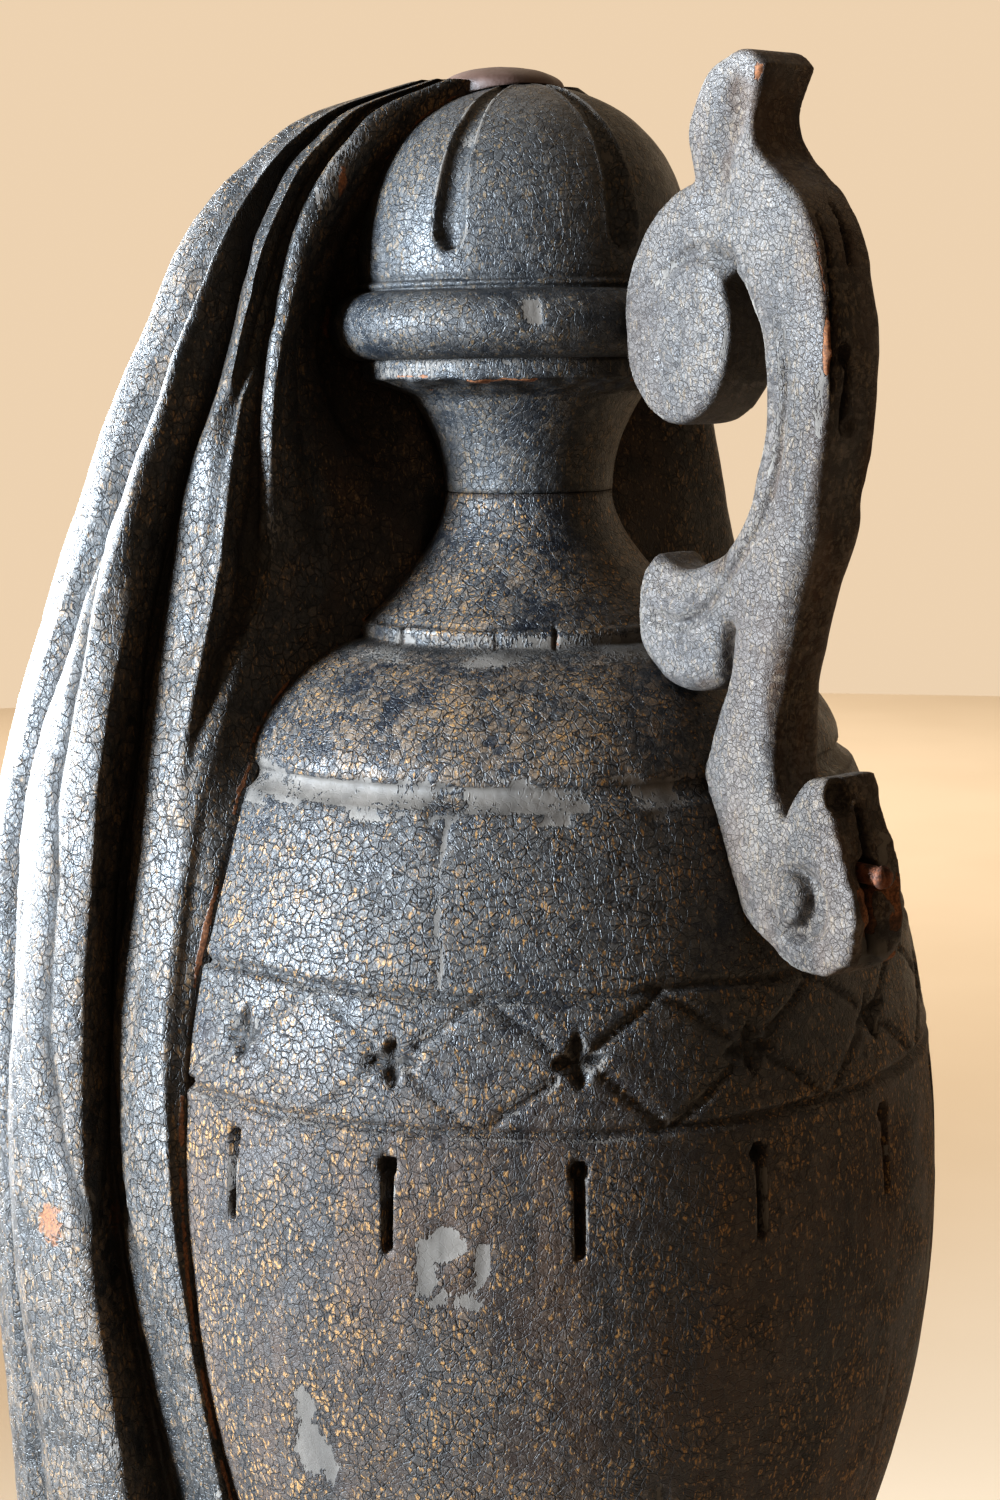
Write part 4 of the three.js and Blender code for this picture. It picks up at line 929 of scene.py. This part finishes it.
def carve_cloth(marks, psi, level, far, skin, stretchy):
    """The creases, the shallow gouges between them and one dished spot."""
    # Creases and gouges are darkened along their bottoms as painted shade, with dirt.
    for drops, turns, width, deep, crease_dirt_and_shade, seed in CREASES:
        line = np.interp(-level, [-h for h in drops], turns)
        gap = arc(psi, line, far) + 0.9 * noise(stretchy, 9, seed)
        inside = step(-drops[0] - 14, -drops[0], -level) * step(-drops[-1] + 14, -drops[-1], -level) * skin
        depth = trough(np.abs(gap), width, deep, 0.85) * inside
        marks.sink(depth * (0.85 + 0.3 * noise(stretchy, 20, seed + 1)),
                   dirt=crease_dirt_and_shade * bell(gap, 0.55 * width) * inside)
    chance = np.random.default_rng(77)
    for k in range(GOUGE_COUNT):
        start = -58 + 8.2 * k + chance.uniform(-2.5, 2.5)
        high, low = chance.uniform(-60, 110), chance.uniform(-430, -170)
        width, deep = chance.uniform(4.0, 8.0), chance.uniform(1.8, 4.6)
        lean = chance.uniform(-4, 4)
        gap = arc(psi, start + lean * (level / 300) + 3.0 * noise(stretchy, 60, 330 + k), far)
        inside = step(high + 40, high - 40, level) * step(low - 60, low + 40, level) * skin
        marks.sink(trough(np.abs(gap), width, deep, 1.2) * inside, dirt=0.55 * bell(gap, 0.35 * width) * inside)
    dish = np.hypot(arc(psi, 79, far) / 5.0, (level + 36) / 24)
    marks.sink(3.2 * np.sqrt(np.maximum(0, 1 - dish ** 2)) * skin)


def make_cloth(material):
    top = CROWN + CLOTH_CROWN
    share = np.linspace(0, 1, CLOTH_ROWS)
    heights = top - (top - HEM_HEIGHT) * (0.35 * share ** 1.7 + 0.65 * share)
    # columns: the same share of each stretch between knots at every height, more of them on the seen side
    lengths = np.linalg.norm(np.diff(around(*cloth_knots(SEAM - 120).T), axis=0), axis=1)
    stretches = len(lengths)
    weights = np.maximum(lengths, 7.0) * np.where(np.arange(stretches) <= len(SEEN_FOLDS), 1.7, 1.0)
    counts = np.maximum(3, np.round(weights / weights.sum() * CLOTH_COLUMNS)).astype(int)
    outer = int(counts.sum()) + 1
    cols = outer + CLOTH_INNER_COLUMNS
    where = [i + np.linspace(0, 1, count, endpoint=False) for i, count in enumerate(counts)]
    where = np.concatenate([*where, [stretches]])
    points, bend = np.empty((CLOTH_ROWS, cols, 3)), np.zeros((CLOTH_ROWS, cols))
    for row, z in enumerate(heights):
        knots = cloth_knots(z)
        line = cloth_line(around(*knots.T), where)
        inner_turns = np.linspace(knots[-1, 0], knots[0, 0], CLOTH_INNER_COLUMNS + 2)[1:-1]
        inner_radius = 1.0 if z > CROWN - 3 else float(outline_radius(min(z, CROWN - 0.5))) + CLOTH_GAP
        points[row, :, :2] = np.concatenate([line, around(inner_turns, inner_radius)])
        points[row, :, 2] = z
        bend[row, 1:outer - 1] = bends(line)
    for axis, width in ((1, 7), (0, 5)):
        bend = np.apply_along_axis(np.convolve, axis, bend, np.ones(width) / width, mode="same")

    # carved surface: tool marks along the folds, then the creases
    column = np.arange(cols)
    skin = np.broadcast_to((column >= 2) & (column < outer - 2), bend.shape)
    radial = points[..., :2] / np.maximum(1e-6, np.linalg.norm(points[..., :2], axis=-1))[..., None]
    stretchy = points * np.array([1.0, 1.0, 0.22])
    tools = 1.3 * noise(stretchy, 26, 161) + 0.7 * noise(stretchy, 11, 162) + 0.25 * noise(points, 7, 163)
    points[..., :2] += (tools * step(0.0, 12.0, top - points[..., 2]) * skin)[..., None] * radial
    level = points[..., 2] - SEAM
    psi = wrapped(np.degrees(np.arctan2(points[..., 1], points[..., 0])) + 180)
    far = np.linalg.norm(points[..., :2], axis=-1)
    marks = Marks()
    carve_cloth(marks, psi, level, far, skin, stretchy)
    points[..., :2] += marks.move[..., None] * radial
    wave = HEM_WAVE * np.sin(np.arctan2(points[..., 1], points[..., 0]) * HEM_WAVES)
    points[..., 2] += wave * step(HEM_HEIGHT + 70, HEM_HEIGHT, points[..., 2])

    # hem: a lip, then a hollow up to the vessel
    hem = points[-1]
    radius = np.linalg.norm(hem[:, :2], axis=1)
    thickness = np.maximum(0, radius - float(outline_radius(HEM_HEIGHT)))
    hollow = np.clip(thickness / 60.0, 0.03, 1)
    rings = [np.column_stack([hem[:, :2] * (1 - share_in * thickness * hollow / radius)[:, None],
                              hem[:, 2] - 1.0 + lift * hollow]) for share_in, lift in HEM_RINGS]
    all_points, faces = capped(np.concatenate([points, rings]), points[0].mean(axis=0), rings[-1].mean(axis=0))

    # chipped ridges paled as painted highlights, valleys darkened as painted shade with dirt, walls beside the vessel
    # darkened as painted shade, and a chipped line where the cloth meets the vessel, darkened along its ends with dirt
    # and painted shade
    bulge = 6 * bend * np.sign(bend[120, 5:300].mean())
    ridge, valley = np.clip(bulge, 0, 1), np.clip(-bulge, 0, 1)
    first_wall, last_wall = column < counts[:2].sum(), (column > outer - counts[-2:].sum()) & (column < outer)
    walls = (first_wall | last_wall) * step(-75, -35, level)
    ends = (column < 4) | ((column > outer - 5) & (column < outer))
    off_vessel = far - outline_radius(np.minimum(points[..., 2], CROWN - 3))
    knocked = bell(np.hypot(arc(psi, 77.2, far), (level + 262) * 0.7), 8.0) * skin
    marks.add(dirt=0.85 * step(0.25, 0.8, valley), chip=0.75 * ridge * step(0.45, 0.7, fbm(stretchy, 12, 172)),
              bare=0.5 * ridge * step(0.2, 0.6, noise(points, 15, 171)), worn=0.45 + 0.5 * noise(stretchy, 30, 174),
              stain=walls * (0.7 + 0.3 * noise(points, 30, 179)) + 0.6 * step(0.3, 0.9, valley))
    marks.add(dirt=walls * (0.15 + 0.3 * noise(points, 18, 175)), chip=0.75 * knocked)
    marks.add(dirt=0.4 * ends * (0.7 + 0.4 * noise(points, 8, 177)))
    marks.add(dirt=0.9 * bell(off_vessel - 0.1, 0.6) * skin,
              chip=bell(off_vessel - 2.0, 1.4) * skin * (0.62 + 0.5 * noise(points, 9, 178)))
    hidden = len(all_points) - bend.size
    masks = {key: np.append(v, np.full(hidden, HEM_MASKS[key])) for key, v in marks.masks.items()}
    # turned to face outwards; the quads under the hem keep their own diagonal
    body = (CLOTH_ROWS - 1) * cols
    faces = [face[::-1] for face in faces[:body]] + [face[:1] + face[:0:-1] for face in faces[body:]]
    return lay("cloth_carved", all_points, faces, material, "drapery", masks)


# Handle: measured from the middle of the upper scroll, carved out of a field of distances

HANDLE_RUNS = [
    ("line", [(25, -112.5), (29, -95)]),
    ("curve", [(29, -95), (26, -110), (20, -128), (14, -152), (22, -176), (38, -193), (52, -202), (64, -206),
               (76, -206), (89, -201)]),
    ("line", [(89, -201), (92, -183), (89, -167), (83, -155), (79, -147), (76, -139)]),
    ("curve", [(76, -139), (66, -141), (59, -149), (55.5, -156)]),
    ("curve", [(55.5, -156), (51, -145), (50, -133), (50.6, -120), (54.6, -103), (61.6, -80), (68.6, -61),
               (70.6, -47), (74.6, -25), (76, -1), (73, 17), (67.5, 35), (60, 46), (50, 54), (43, 60),
               (38.8, 67), (38.5, 75), (41.5, 82), (44.5, 88)]),
    ("curve", [(44.5, 88), (39, 92.5), (32.5, 94), (26, 92.5), (17.5, 89), (10.5, 81), (6.5, 71), (7, 62), (9, 54)]),
    ("curve", [(9, 54), (-1.5, 50), (-13.5, 42), (-21.5, 32), (-26.5, 20), (-27.5, 8), (-26, -6), (-19.5, -18),
               (-7.5, -26), (4, -26.7), (16.5, -21), (24.5, -11), (27.5, 0), (27.3, 11), (24.5, 19.5), (28.5, 24.5)]),
    ("curve", [(28.5, 24.5), (35, 18), (40.5, 9), (44.5, -3), (45.5, -18), (44.5, -31), (38, -50), (31.5, -61),
               (23.5, -68.5), (11.5, -74), (1, -76), (-6, -75), (-13.5, -71)]),
    ("curve", [(-13.5, -71), (-20, -78), (-23.5, -91), (-21, -105), (-8, -116), (7.5, -118.5), (20, -115.5),
               (25, -112.5)])]
# Carved lines of the two faces
HEAD_DIMPLE = [(31, 80), (30, 72), (27, 64), (24, 55), (21, 47)]
CRESCENT = [(-7, 21), (0, 26), (9, 29.5), (18, 30), (27, 26)]
HOOK = [(-8, -2), (-5, -7), (0, -8.5), (4, -6), (4, -2)]
GROOVE = [(54, 6), (57, -13), (56, -25), (53, -40), (48, -54), (37, -69), (26, -80), (15, -91), (4, -95), (-9, -94)]
LEAF = [(-10, -79), (-4, -82), (6, -82.5), (16, -80), (24, -74)]
NOTCH = [(27, -93), (26, -101), (24.5, -112)]
# Box and cell of the sampled field
FIELD_LOW, FIELD_HIGH, FIELD_CELL = (-30.0, -16.0, -209.0), (98.0, 16.0, 97.0), 1.15


def handle_outline():
    return np.concatenate([(curve(run, 7) if kind == "curve" else np.array(run, float))[:-1]
                           for kind, run in HANDLE_RUNS])


def outline_field(outline, u, v):
    """Signed distance to a closed outline, negative inside."""
    best, inside = np.full(u.shape, 1e9), np.zeros(u.shape, bool)
    for a, b in zip(outline, np.roll(outline, -1, axis=0)):
        best = np.minimum(best, gaps_from_line(u, v, a, b)[0])
        crosses = (a[1] > v) != (b[1] > v)
        slope = (b[0] - a[0]) / (b[1] - a[1]) if abs(b[1] - a[1]) > 1e-12 else 0.0
        inside ^= crosses & (u < a[0] + slope * (v - a[1]))
    return np.where(inside, -best, best)


def line_field(points, u, v):
    """Distance to an open line, and the share along it."""
    best, along = np.full(u.shape, 1e9), np.zeros(u.shape)
    total = len(points) - 1
    for k in range(total):
        near, share = gaps_from_line(u, v, points[k], points[k + 1])
        closer = near < best
        along = np.where(closer, (k + share) / total, along)
        best = np.where(closer, near, best)
    return best, along


def nets(field, origin, size):
    """Surface of a sampled field where it changes sign, one point a cell."""
    inside = field < 0
    cell = tuple(n - 1 for n in field.shape)
    total, count = np.zeros(cell + (3,)), np.zeros(cell)

    def at(offset, source):
        return source[tuple(slice(o, o + c) for o, c in zip(offset, cell))]
    for a in [(i, j, k) for i in (0, 1) for j in (0, 1) for k in (0, 1)]:
        for axis in range(3):
            if a[axis]:
                continue
            b = tuple(v + (k == axis) for k, v in enumerate(a))
            va, vb = at(a, field), at(b, field)
            change = at(a, inside) != at(b, inside)
            share = np.where(change, va / np.where(change, va - vb, 1.0), 0.0)
            for k in range(3):
                total[..., k] += np.where(change, a[k] + (share if k == axis else 0.0), 0.0)
            count += change
    used = count > 0
    index = np.full(cell, -1)
    index[used] = np.arange(used.sum())
    points = (np.stack(np.nonzero(used), axis=-1) + total[used] / count[used][:, None]) * size + origin
    faces = []
    for axis in range(3):
        other = [k for k in range(3) if k != axis]
        low, high = [slice(None)] * 3, [slice(None)] * 3
        low[axis], high[axis] = slice(0, -1), slice(1, None)
        leaving = inside[tuple(low)]
        places = np.stack(np.nonzero(leaving != inside[tuple(high)]), axis=-1)
        places = places[np.all((places[:, other] > 0) & (places[:, other] < np.array(cell)[other]), axis=1)]
        flip = leaving[tuple(places.T)] != (axis == 1)
        ring = []
        for back in ((1, 1), (0, 1), (0, 0), (1, 0)):
            q = places.copy()
            q[:, other] -= back
            ring.append(index[tuple(q.T)])
        ring = np.stack(ring, axis=-1)
        ring[~flip] = ring[~flip][:, ::-1]
        faces.append(ring)
    return points, np.concatenate(faces)


def handle_relief(u, v, edge):
    """Depth of the carving in the handle's two faces."""
    wobble = 0.6 * noise(np.stack([u, np.zeros_like(u), v], axis=-1), 14, 201)
    near, along = line_field(curve(HEAD_DIMPLE, 4), u + wobble, v)
    depth = 3.4 * bell(near, 6.5) * (1 - 0.35 * along)
    near, along = line_field(curve(CRESCENT, 4), u, v)
    depth += trough(near, 0.8 + 4.6 * along, 3.2, 0.5) * along ** 0.8
    depth += 1.0 * bell(line_field(curve(HOOK, 4), u, v)[0], 0.9)
    near, along = line_field(curve(GROOVE, 5), u + 0.4 * wobble, v)
    depth += trough(near, 2.0 + 1.2 * along, 2.6) * step(0, 0.08, along)
    depth += 2.0 * bell(line_field(curve(LEAF, 4), u, v)[0], 4.0)
    near, along = line_field(NOTCH, u + 0.3 * wobble, v)
    depth += trough(near, 1.6, 2.4, 1) * step(1.0, 0.6, 1 - along)
    # lower lobe: a boss in a hollow
    boss = np.hypot(u - 60.5, (v + 181.5) * 0.86)
    depth += 4.2 * step(15.5, 9.0, np.hypot(u - 65.5, v + 183)) * step(6.8, 8.8, boss + 0.5 * wobble)
    depth -= 2.4 * np.sqrt(np.maximum(0, 1 - (boss / 8.4) ** 2))
    # the face swells towards the middle of the blade
    return depth + 1.2 * bell(edge, 7.0)


def handle_field(u, y, v):
    """Distance-like field of the handle, negative inside, from the upper scroll's middle."""
    p, torn = np.stack([u, y, v], axis=-1), np.stack([u, y, v * 0.25], axis=-1)
    flat_u, flat_v = u[:, 0, :], v[:, 0, :]
    edge = outline_field(handle_outline(), flat_u, flat_v)
    depth = handle_relief(flat_u, flat_v, edge)
    break_face = step(14, 2, np.hypot((flat_u - 88) * 0.8, np.maximum(0, np.abs(flat_v + 172) - 26)))
    rough = 0.35 * noise(p, 16, 203) + 0.18 * noise(p, 6, 204)
    across = np.abs(y) - BOARD / 2 + depth[:, None, :] * np.where(y < 0, 1, 0.9) + rough * 0.6 + 0.3
    ragged = 1.6 * noise(torn, 7, 206) + 2.0 * noise(torn, 14, 207) + 0.7 * noise(p, 3.5, 208)
    side = edge[:, None, :] + rough + 0.25 + break_face[:, None, :] * (1.6 + ragged)
    radius = 2.2 + 1.4 * np.maximum(0, noise(p, 10, 209)) + 4.5 * bell(v + 95, 45)
    a, b = side + radius, across + radius
    field = np.hypot(np.maximum(a, 0), np.maximum(b, 0)) + np.minimum(np.maximum(a, b), 0) - radius

    def hollow(middle, radii, scale):
        """Field of an ellipsoid."""
        return scale * np.sqrt(sum(((c - m) / r) ** 2 for c, m, r in zip((u, y, v), middle, radii))) - scale

    # the deep crack of the break, the chips beside it and the hole of the screw
    inward = BREAK_REACH - u
    crack_middle = 1.2 * np.sin((v + 170) * 0.13) + 1.3 * noise(torn, 9, 211)
    reach = 16 * step(-206, -196, v) * step(-142, -150, v)
    width = 2.3 * step(-204, -180, v) * step(-140, -152, v)
    crack = np.maximum(np.abs(y - crack_middle) - width * (1 - 0.5 * np.clip(inward / 16, 0, 1)), inward - reach)
    cuts = [np.maximum(crack, np.maximum(v + 143, -v - 204)),
            hollow((79, -6, -146), (8, 5, 7), 6) + 0.8 * noise(p, 6, 212),
            np.maximum(np.hypot(y, v + SCREW_DROP) - SCREW_HOLE, 74 - u)]
    # splits and holes in the outer edge, and a long flake off the face
    for middle, length, across_at in ((12, 30, -8.0), (-18, 13, -2.5), (34, 11, 2.5)):
        width = 1.3 * np.sqrt(np.maximum(0, 1 - ((v - middle) / length) ** 2)) * (0.8 + 0.5 * noise(torn, 6, 214))
        split = np.abs(y - across_at - 1.6 * noise(torn, 12, 213) - 0.05 * (v - middle)) - width
        cuts.append(np.maximum(np.maximum(split, np.abs(v - middle) - length), 66 - u - 0.004 * (v - 5) ** 2))
    for middle, across_at in ((-4, -5.0), (-27, -1.0)):
        cuts.append(hollow((76, across_at, middle), (4.5, 2.8, 4.5), 3) + 0.6 * noise(p, 4, 215))
    cuts.append(hollow((75, -13.5, -20), (5.0, 2.6, 15), 4))
    # room for the vessel and the lid
    cuts.append(np.hypot(u + SCROLL_X, y) - HANDLE_GAP - outline_radius(v + SCROLL_Z))
    for cut in cuts:
        field = np.maximum(field, -cut)
    return field


def make_handle(material):
    low, high, size = np.array(FIELD_LOW), np.array(FIELD_HIGH), FIELD_CELL
    axes = [np.arange(low[k], high[k] + size, size) for k in range(3)]
    points, faces = nets(handle_field(*np.meshgrid(*axes, indexing="ij")), low, size)
    u, y, v = points.T
    grain = points * np.array([1, 1, 0.4])
    across = np.abs(y)
    face = step(10.5, 12.5, across)
    near_groove, near_crescent, near_leaf = [
        line_field(curve(line, per), u, v)[0] for line, per in ((GROOVE, 5), (CRESCENT, 4), (LEAF, 4))]
    broken = step(12, 3, np.hypot((u - 88) * 0.85, np.maximum(0, np.abs(v + 172) - 25)))
    broken = broken * step(11.5, 9.5, across - 1.2 * noise(points, 6, 221))
    rim = bell(outline_field(handle_outline(), u, v) + 1.2, 1.6) * step(10.0, 12.0, across)
    lumps = noise(points, 9, 222)
    strip = step(-9.6, -10.6, y) * step(-13.8, -12.8, y) * step(40, 30, v) * step(-20, -10, v) * step(60, 64, u)
    outer_edge = step(12.4, 10.2, across - 0.8 * noise(points, 8, 229)) * step(30, 44, u + 0.25 * np.abs(v))
    low_blade = step(-45, -110, v) * step(35, 50, u) * (0.5 + 0.35 * noise(points, 30, 231))
    coil_gap = (np.hypot(u, v) < 40) & (across < 11) & (u > 10) & (v > -12)
    marks = Marks()
    for chip in (0.8 * rim * step(0.5, 0.72, fbm(points, 15, 223)),
                 0.9 * bell(np.hypot(u - 42.5, (v - 84) * 0.6), 3.4) * step(9, 11.5, across) * (y < 0),
                 0.85 * strip * step(-0.2, 0.2, noise(grain, 7, 228)),
                 bell(np.hypot(u - 51.5, v + 124), 2.6) * step(-9, -12, y),
                 0.9 * broken * step(0.15, 0.4, fbm(grain, 12, 224))):
        marks.add(chip=chip)
    for bare in (0.7 * bell(near_crescent, 2.4) * face, 0.5 * bell(near_leaf, 3.0) * face,
                 0.55 * bell(near_groove - 2.5, 1.2) * face, 0.8 * rim * step(0.0, 0.4, lumps),
                 1.2 * bell(np.hypot((u - 74) / 4, (v + 20) / 13), 1.0) * step(-10.5, -12, y),
                 broken * step(0.2, 0.35, fbm(points, 14, 225))):
        marks.add(bare=bare)
    # the groove and the gap inside the coil are darkened as painted shade, the break with dirt
    for dirt in (0.5 * bell(near_groove, 1.3) * face, 0.7 * broken * step(0.0, -0.3, lumps), 0.45 * coil_gap):
        marks.add(dirt=dirt)
    # the outer edge is stained brown and also darkened as painted shade, on the side away from the window
    for stain in (outer_edge * (0.75 + 0.5 * noise(points * np.array([1, 1, 0.3]), 12, 230)), low_blade,
                  0.25 + 0.3 * noise(points, 35, 232)):
        marks.add(stain=stain)
    marks.add(worn=0.35 + 0.4 * noise(points, 40, 226) + 0.45 * outer_edge + 0.3 * step(-60, -100, v))
    return lay("handle_carved", points + np.array([SCROLL_X, 0, SCROLL_Z]), faces, material, "handle",
               marks.masks)


def make_screw(material):
    """A rusted round-headed screw along X, slotted."""
    tip, height = SCROLL_X + BREAK_REACH + SCREW_STANDS_OUT, SCROLL_Z - SCREW_DROP
    profile = np.array([[0, -16.0], [3.0, -16.0], [3.3, -14], [3.3, -3.2], [4.0, -2.6], [4.0, -1.6], [3.6, -0.7],
                        [2.6, -0.2], [1.3, 0.0], [0, 0.05]])
    fine = joined(walk(profile[:2], 1.5), walk(profile[1:9], 0.8), profile[8:])
    angles = np.radians(np.arange(0, 360, 12))
    p = np.array([np.column_stack([np.full(len(angles), tip + h), -r * np.cos(angles), r * np.sin(angles)])
                  for r, h in fine[1:-1]])
    slot = step(0.9, 0.5, np.abs(p[..., 1])) * step(tip - 2.0, tip - 1.2, p[..., 0])
    p[..., 0] -= 0.9 * slot + 0.3 * (noise(p, 2.5, 231) + 1) * (p[..., 0] > tip - 3)
    p[..., 2] += height
    points, faces = capped(p, [tip + fine[0, 1], 0, height], [tip - 0.9, 0, height])
    return lay("screw_rusted", points, faces, material, "handle_screw", {})


# Materials and pieces of this urn

vessel_paint = cracked_paint("blackened_paint", (0.008, 0.010, 0.014), (0.050, 0.047, 0.044), (0.26, 0.14, 0.045),
                             ochre_share=0.8, cell=0.0038)
lid_paint = cracked_paint("lid_paint", (0.010, 0.012, 0.015), (0.045, 0.044, 0.043), (0.17, 0.11, 0.05),
                          ochre_share=0.55, cell=0.0031, plates=0.75, crack=0.7)
cloth_paint = cracked_paint("cloth_paint", (0.009, 0.010, 0.011), (0.040, 0.037, 0.034), (0.22, 0.13, 0.055),
                            ochre_share=0.65, cell=0.0037, stretch=(1.0, 1.0, 0.8), plates=0.9, crack=0.8)
handle_paint = cracked_paint("handle_paint", (0.034, 0.031, 0.030), (0.088, 0.080, 0.074), (0.15, 0.11, 0.07),
                             ochre_share=0.5, cell=0.0023, relief=0.0005, rough=(0.40, 0.6), plates=0.8, crack=0.25)
foot_paint = cracked_paint("foot_paint", (0.012, 0.013, 0.016), (0.052, 0.050, 0.048), (0.18, 0.105, 0.045))

make_plinth(foot_paint)
make_foot(foot_paint)
make_body(vessel_paint)
make_lid(lid_paint)
make_knob(brown_knob_material())
make_cloth(cloth_paint)
make_handle(handle_paint)
make_screw(rust_material())

# Studio: floor, camera, a pale backdrop and three lamps, all in metres

FLOOR_RADIUS, FLOOR_SIDES = 4.0, 72
floor_mesh = bpy.data.meshes.new("floor")
floor_turns = np.linspace(0, 2 * math.pi, FLOOR_SIDES, endpoint=False)
floor_mesh.from_pydata([(FLOOR_RADIUS * math.cos(a), FLOOR_RADIUS * math.sin(a), 0.0) for a in floor_turns], [],
                       [list(range(FLOOR_SIDES))])
floor = bpy.data.objects.new("floor", floor_mesh)
bpy.context.scene.collection.objects.link(floor)
floor_mesh.materials.append(floor_material())

# The camera stands 54 degrees round from the front, a little above the neck, and looks down
PITCH, ROLL, YAW = math.radians(9.2), math.radians(0.68), math.radians(0.753)
STAND, DISTANCE, EYE = math.radians(-36), 0.903, (SEAM + 46) / 1000
SENSOR, FOCAL_PIXELS, FRAME_PIXELS = 36, 2360, 1500
up = Vector((0, 0, 1))
towards = Vector((-math.cos(STAND), -math.sin(STAND), 0))
left = up.cross(towards)
ahead_flat = (towards * math.cos(YAW) + left * math.sin(YAW)).normalized()
ahead = ahead_flat * math.cos(PITCH) - up * math.sin(PITCH)
right = ahead_flat.cross(up)
above = right.cross(ahead)
right_turned = right * math.cos(ROLL) - above * math.sin(ROLL)
above_turned = above * math.cos(ROLL) + right * math.sin(ROLL)
camera_data = bpy.data.cameras.new("camera")
camera_data.sensor_width = SENSOR
camera_data.lens = SENSOR * FOCAL_PIXELS / FRAME_PIXELS
camera_data.clip_start = 0.02
camera = bpy.data.objects.new("camera", camera_data)
matrix = Matrix((right_turned, above_turned, -ahead)).transposed().to_4x4()
matrix.translation = up * EYE - towards * DISTANCE
camera.matrix_world = matrix
bpy.context.scene.collection.objects.link(camera)
bpy.context.scene.camera = camera
bpy.context.scene.view_settings.view_transform = "Standard"
bpy.context.scene.view_settings.look = "Medium High Contrast"

# The backdrop glows behind the urn and is dimmer on the camera's side
world = bpy.data.worlds.new("studio")
bpy.context.scene.world = world
world.use_nodes = True
tree = world.node_tree
background = tree.nodes["Background"]
background.inputs[0].default_value = (0.74, 0.575, 0.405, 1.0)
toward = tree.nodes.new("ShaderNodeVectorMath")
toward.operation = "DOT_PRODUCT"
toward.inputs[1].default_value = towards
fade = tree.nodes.new("ShaderNodeMapRange")
fade.interpolation_type = "SMOOTHSTEP"
for key, number in (("From Min", -0.3), ("From Max", 0.85), ("To Min", 0.47), ("To Max", 0.97)):
    fade.inputs[key].default_value = number
tree.links.new(tree.nodes.new("ShaderNodeTexCoord").outputs["Generated"], toward.inputs[0])
tree.links.new(toward.outputs["Value"], fade.inputs["Value"])
tree.links.new(fade.outputs["Result"], background.inputs[1])


def lamp(name, place, target, size, power, colour, beam):
    data = bpy.data.lights.new(name, "AREA")
    data.shape = "RECTANGLE"
    data.size, data.size_y = size
    data.energy, data.color, data.spread = power, colour, math.radians(beam)
    lamp_object = bpy.data.objects.new(name, data)
    lamp_object.location = place
    lamp_object.rotation_euler = (Vector(target) - place).to_track_quat("-Z", "Y").to_euler()
    bpy.context.scene.collection.objects.link(lamp_object)


middle = Vector((0, 0, 0.6))
lamp("window", middle + left * 1.6 - towards * 0.58 + up * 0.08, (0.0, 0.0, 0.5), (0.55, 1.5), 29,
     (0.75, 0.87, 1.0), 46)
lamp("second_window", middle + left * 1.15 + towards * 0.75 + up * 0.12, middle, (0.5, 0.8), 8.5,
     (0.84, 0.92, 1.0), 46)
lamp("backdrop", towards * 2.6 + up * 2.6, towards * 2.6, (3.0, 3.0), 24, (1.0, 0.90, 0.78), 75)
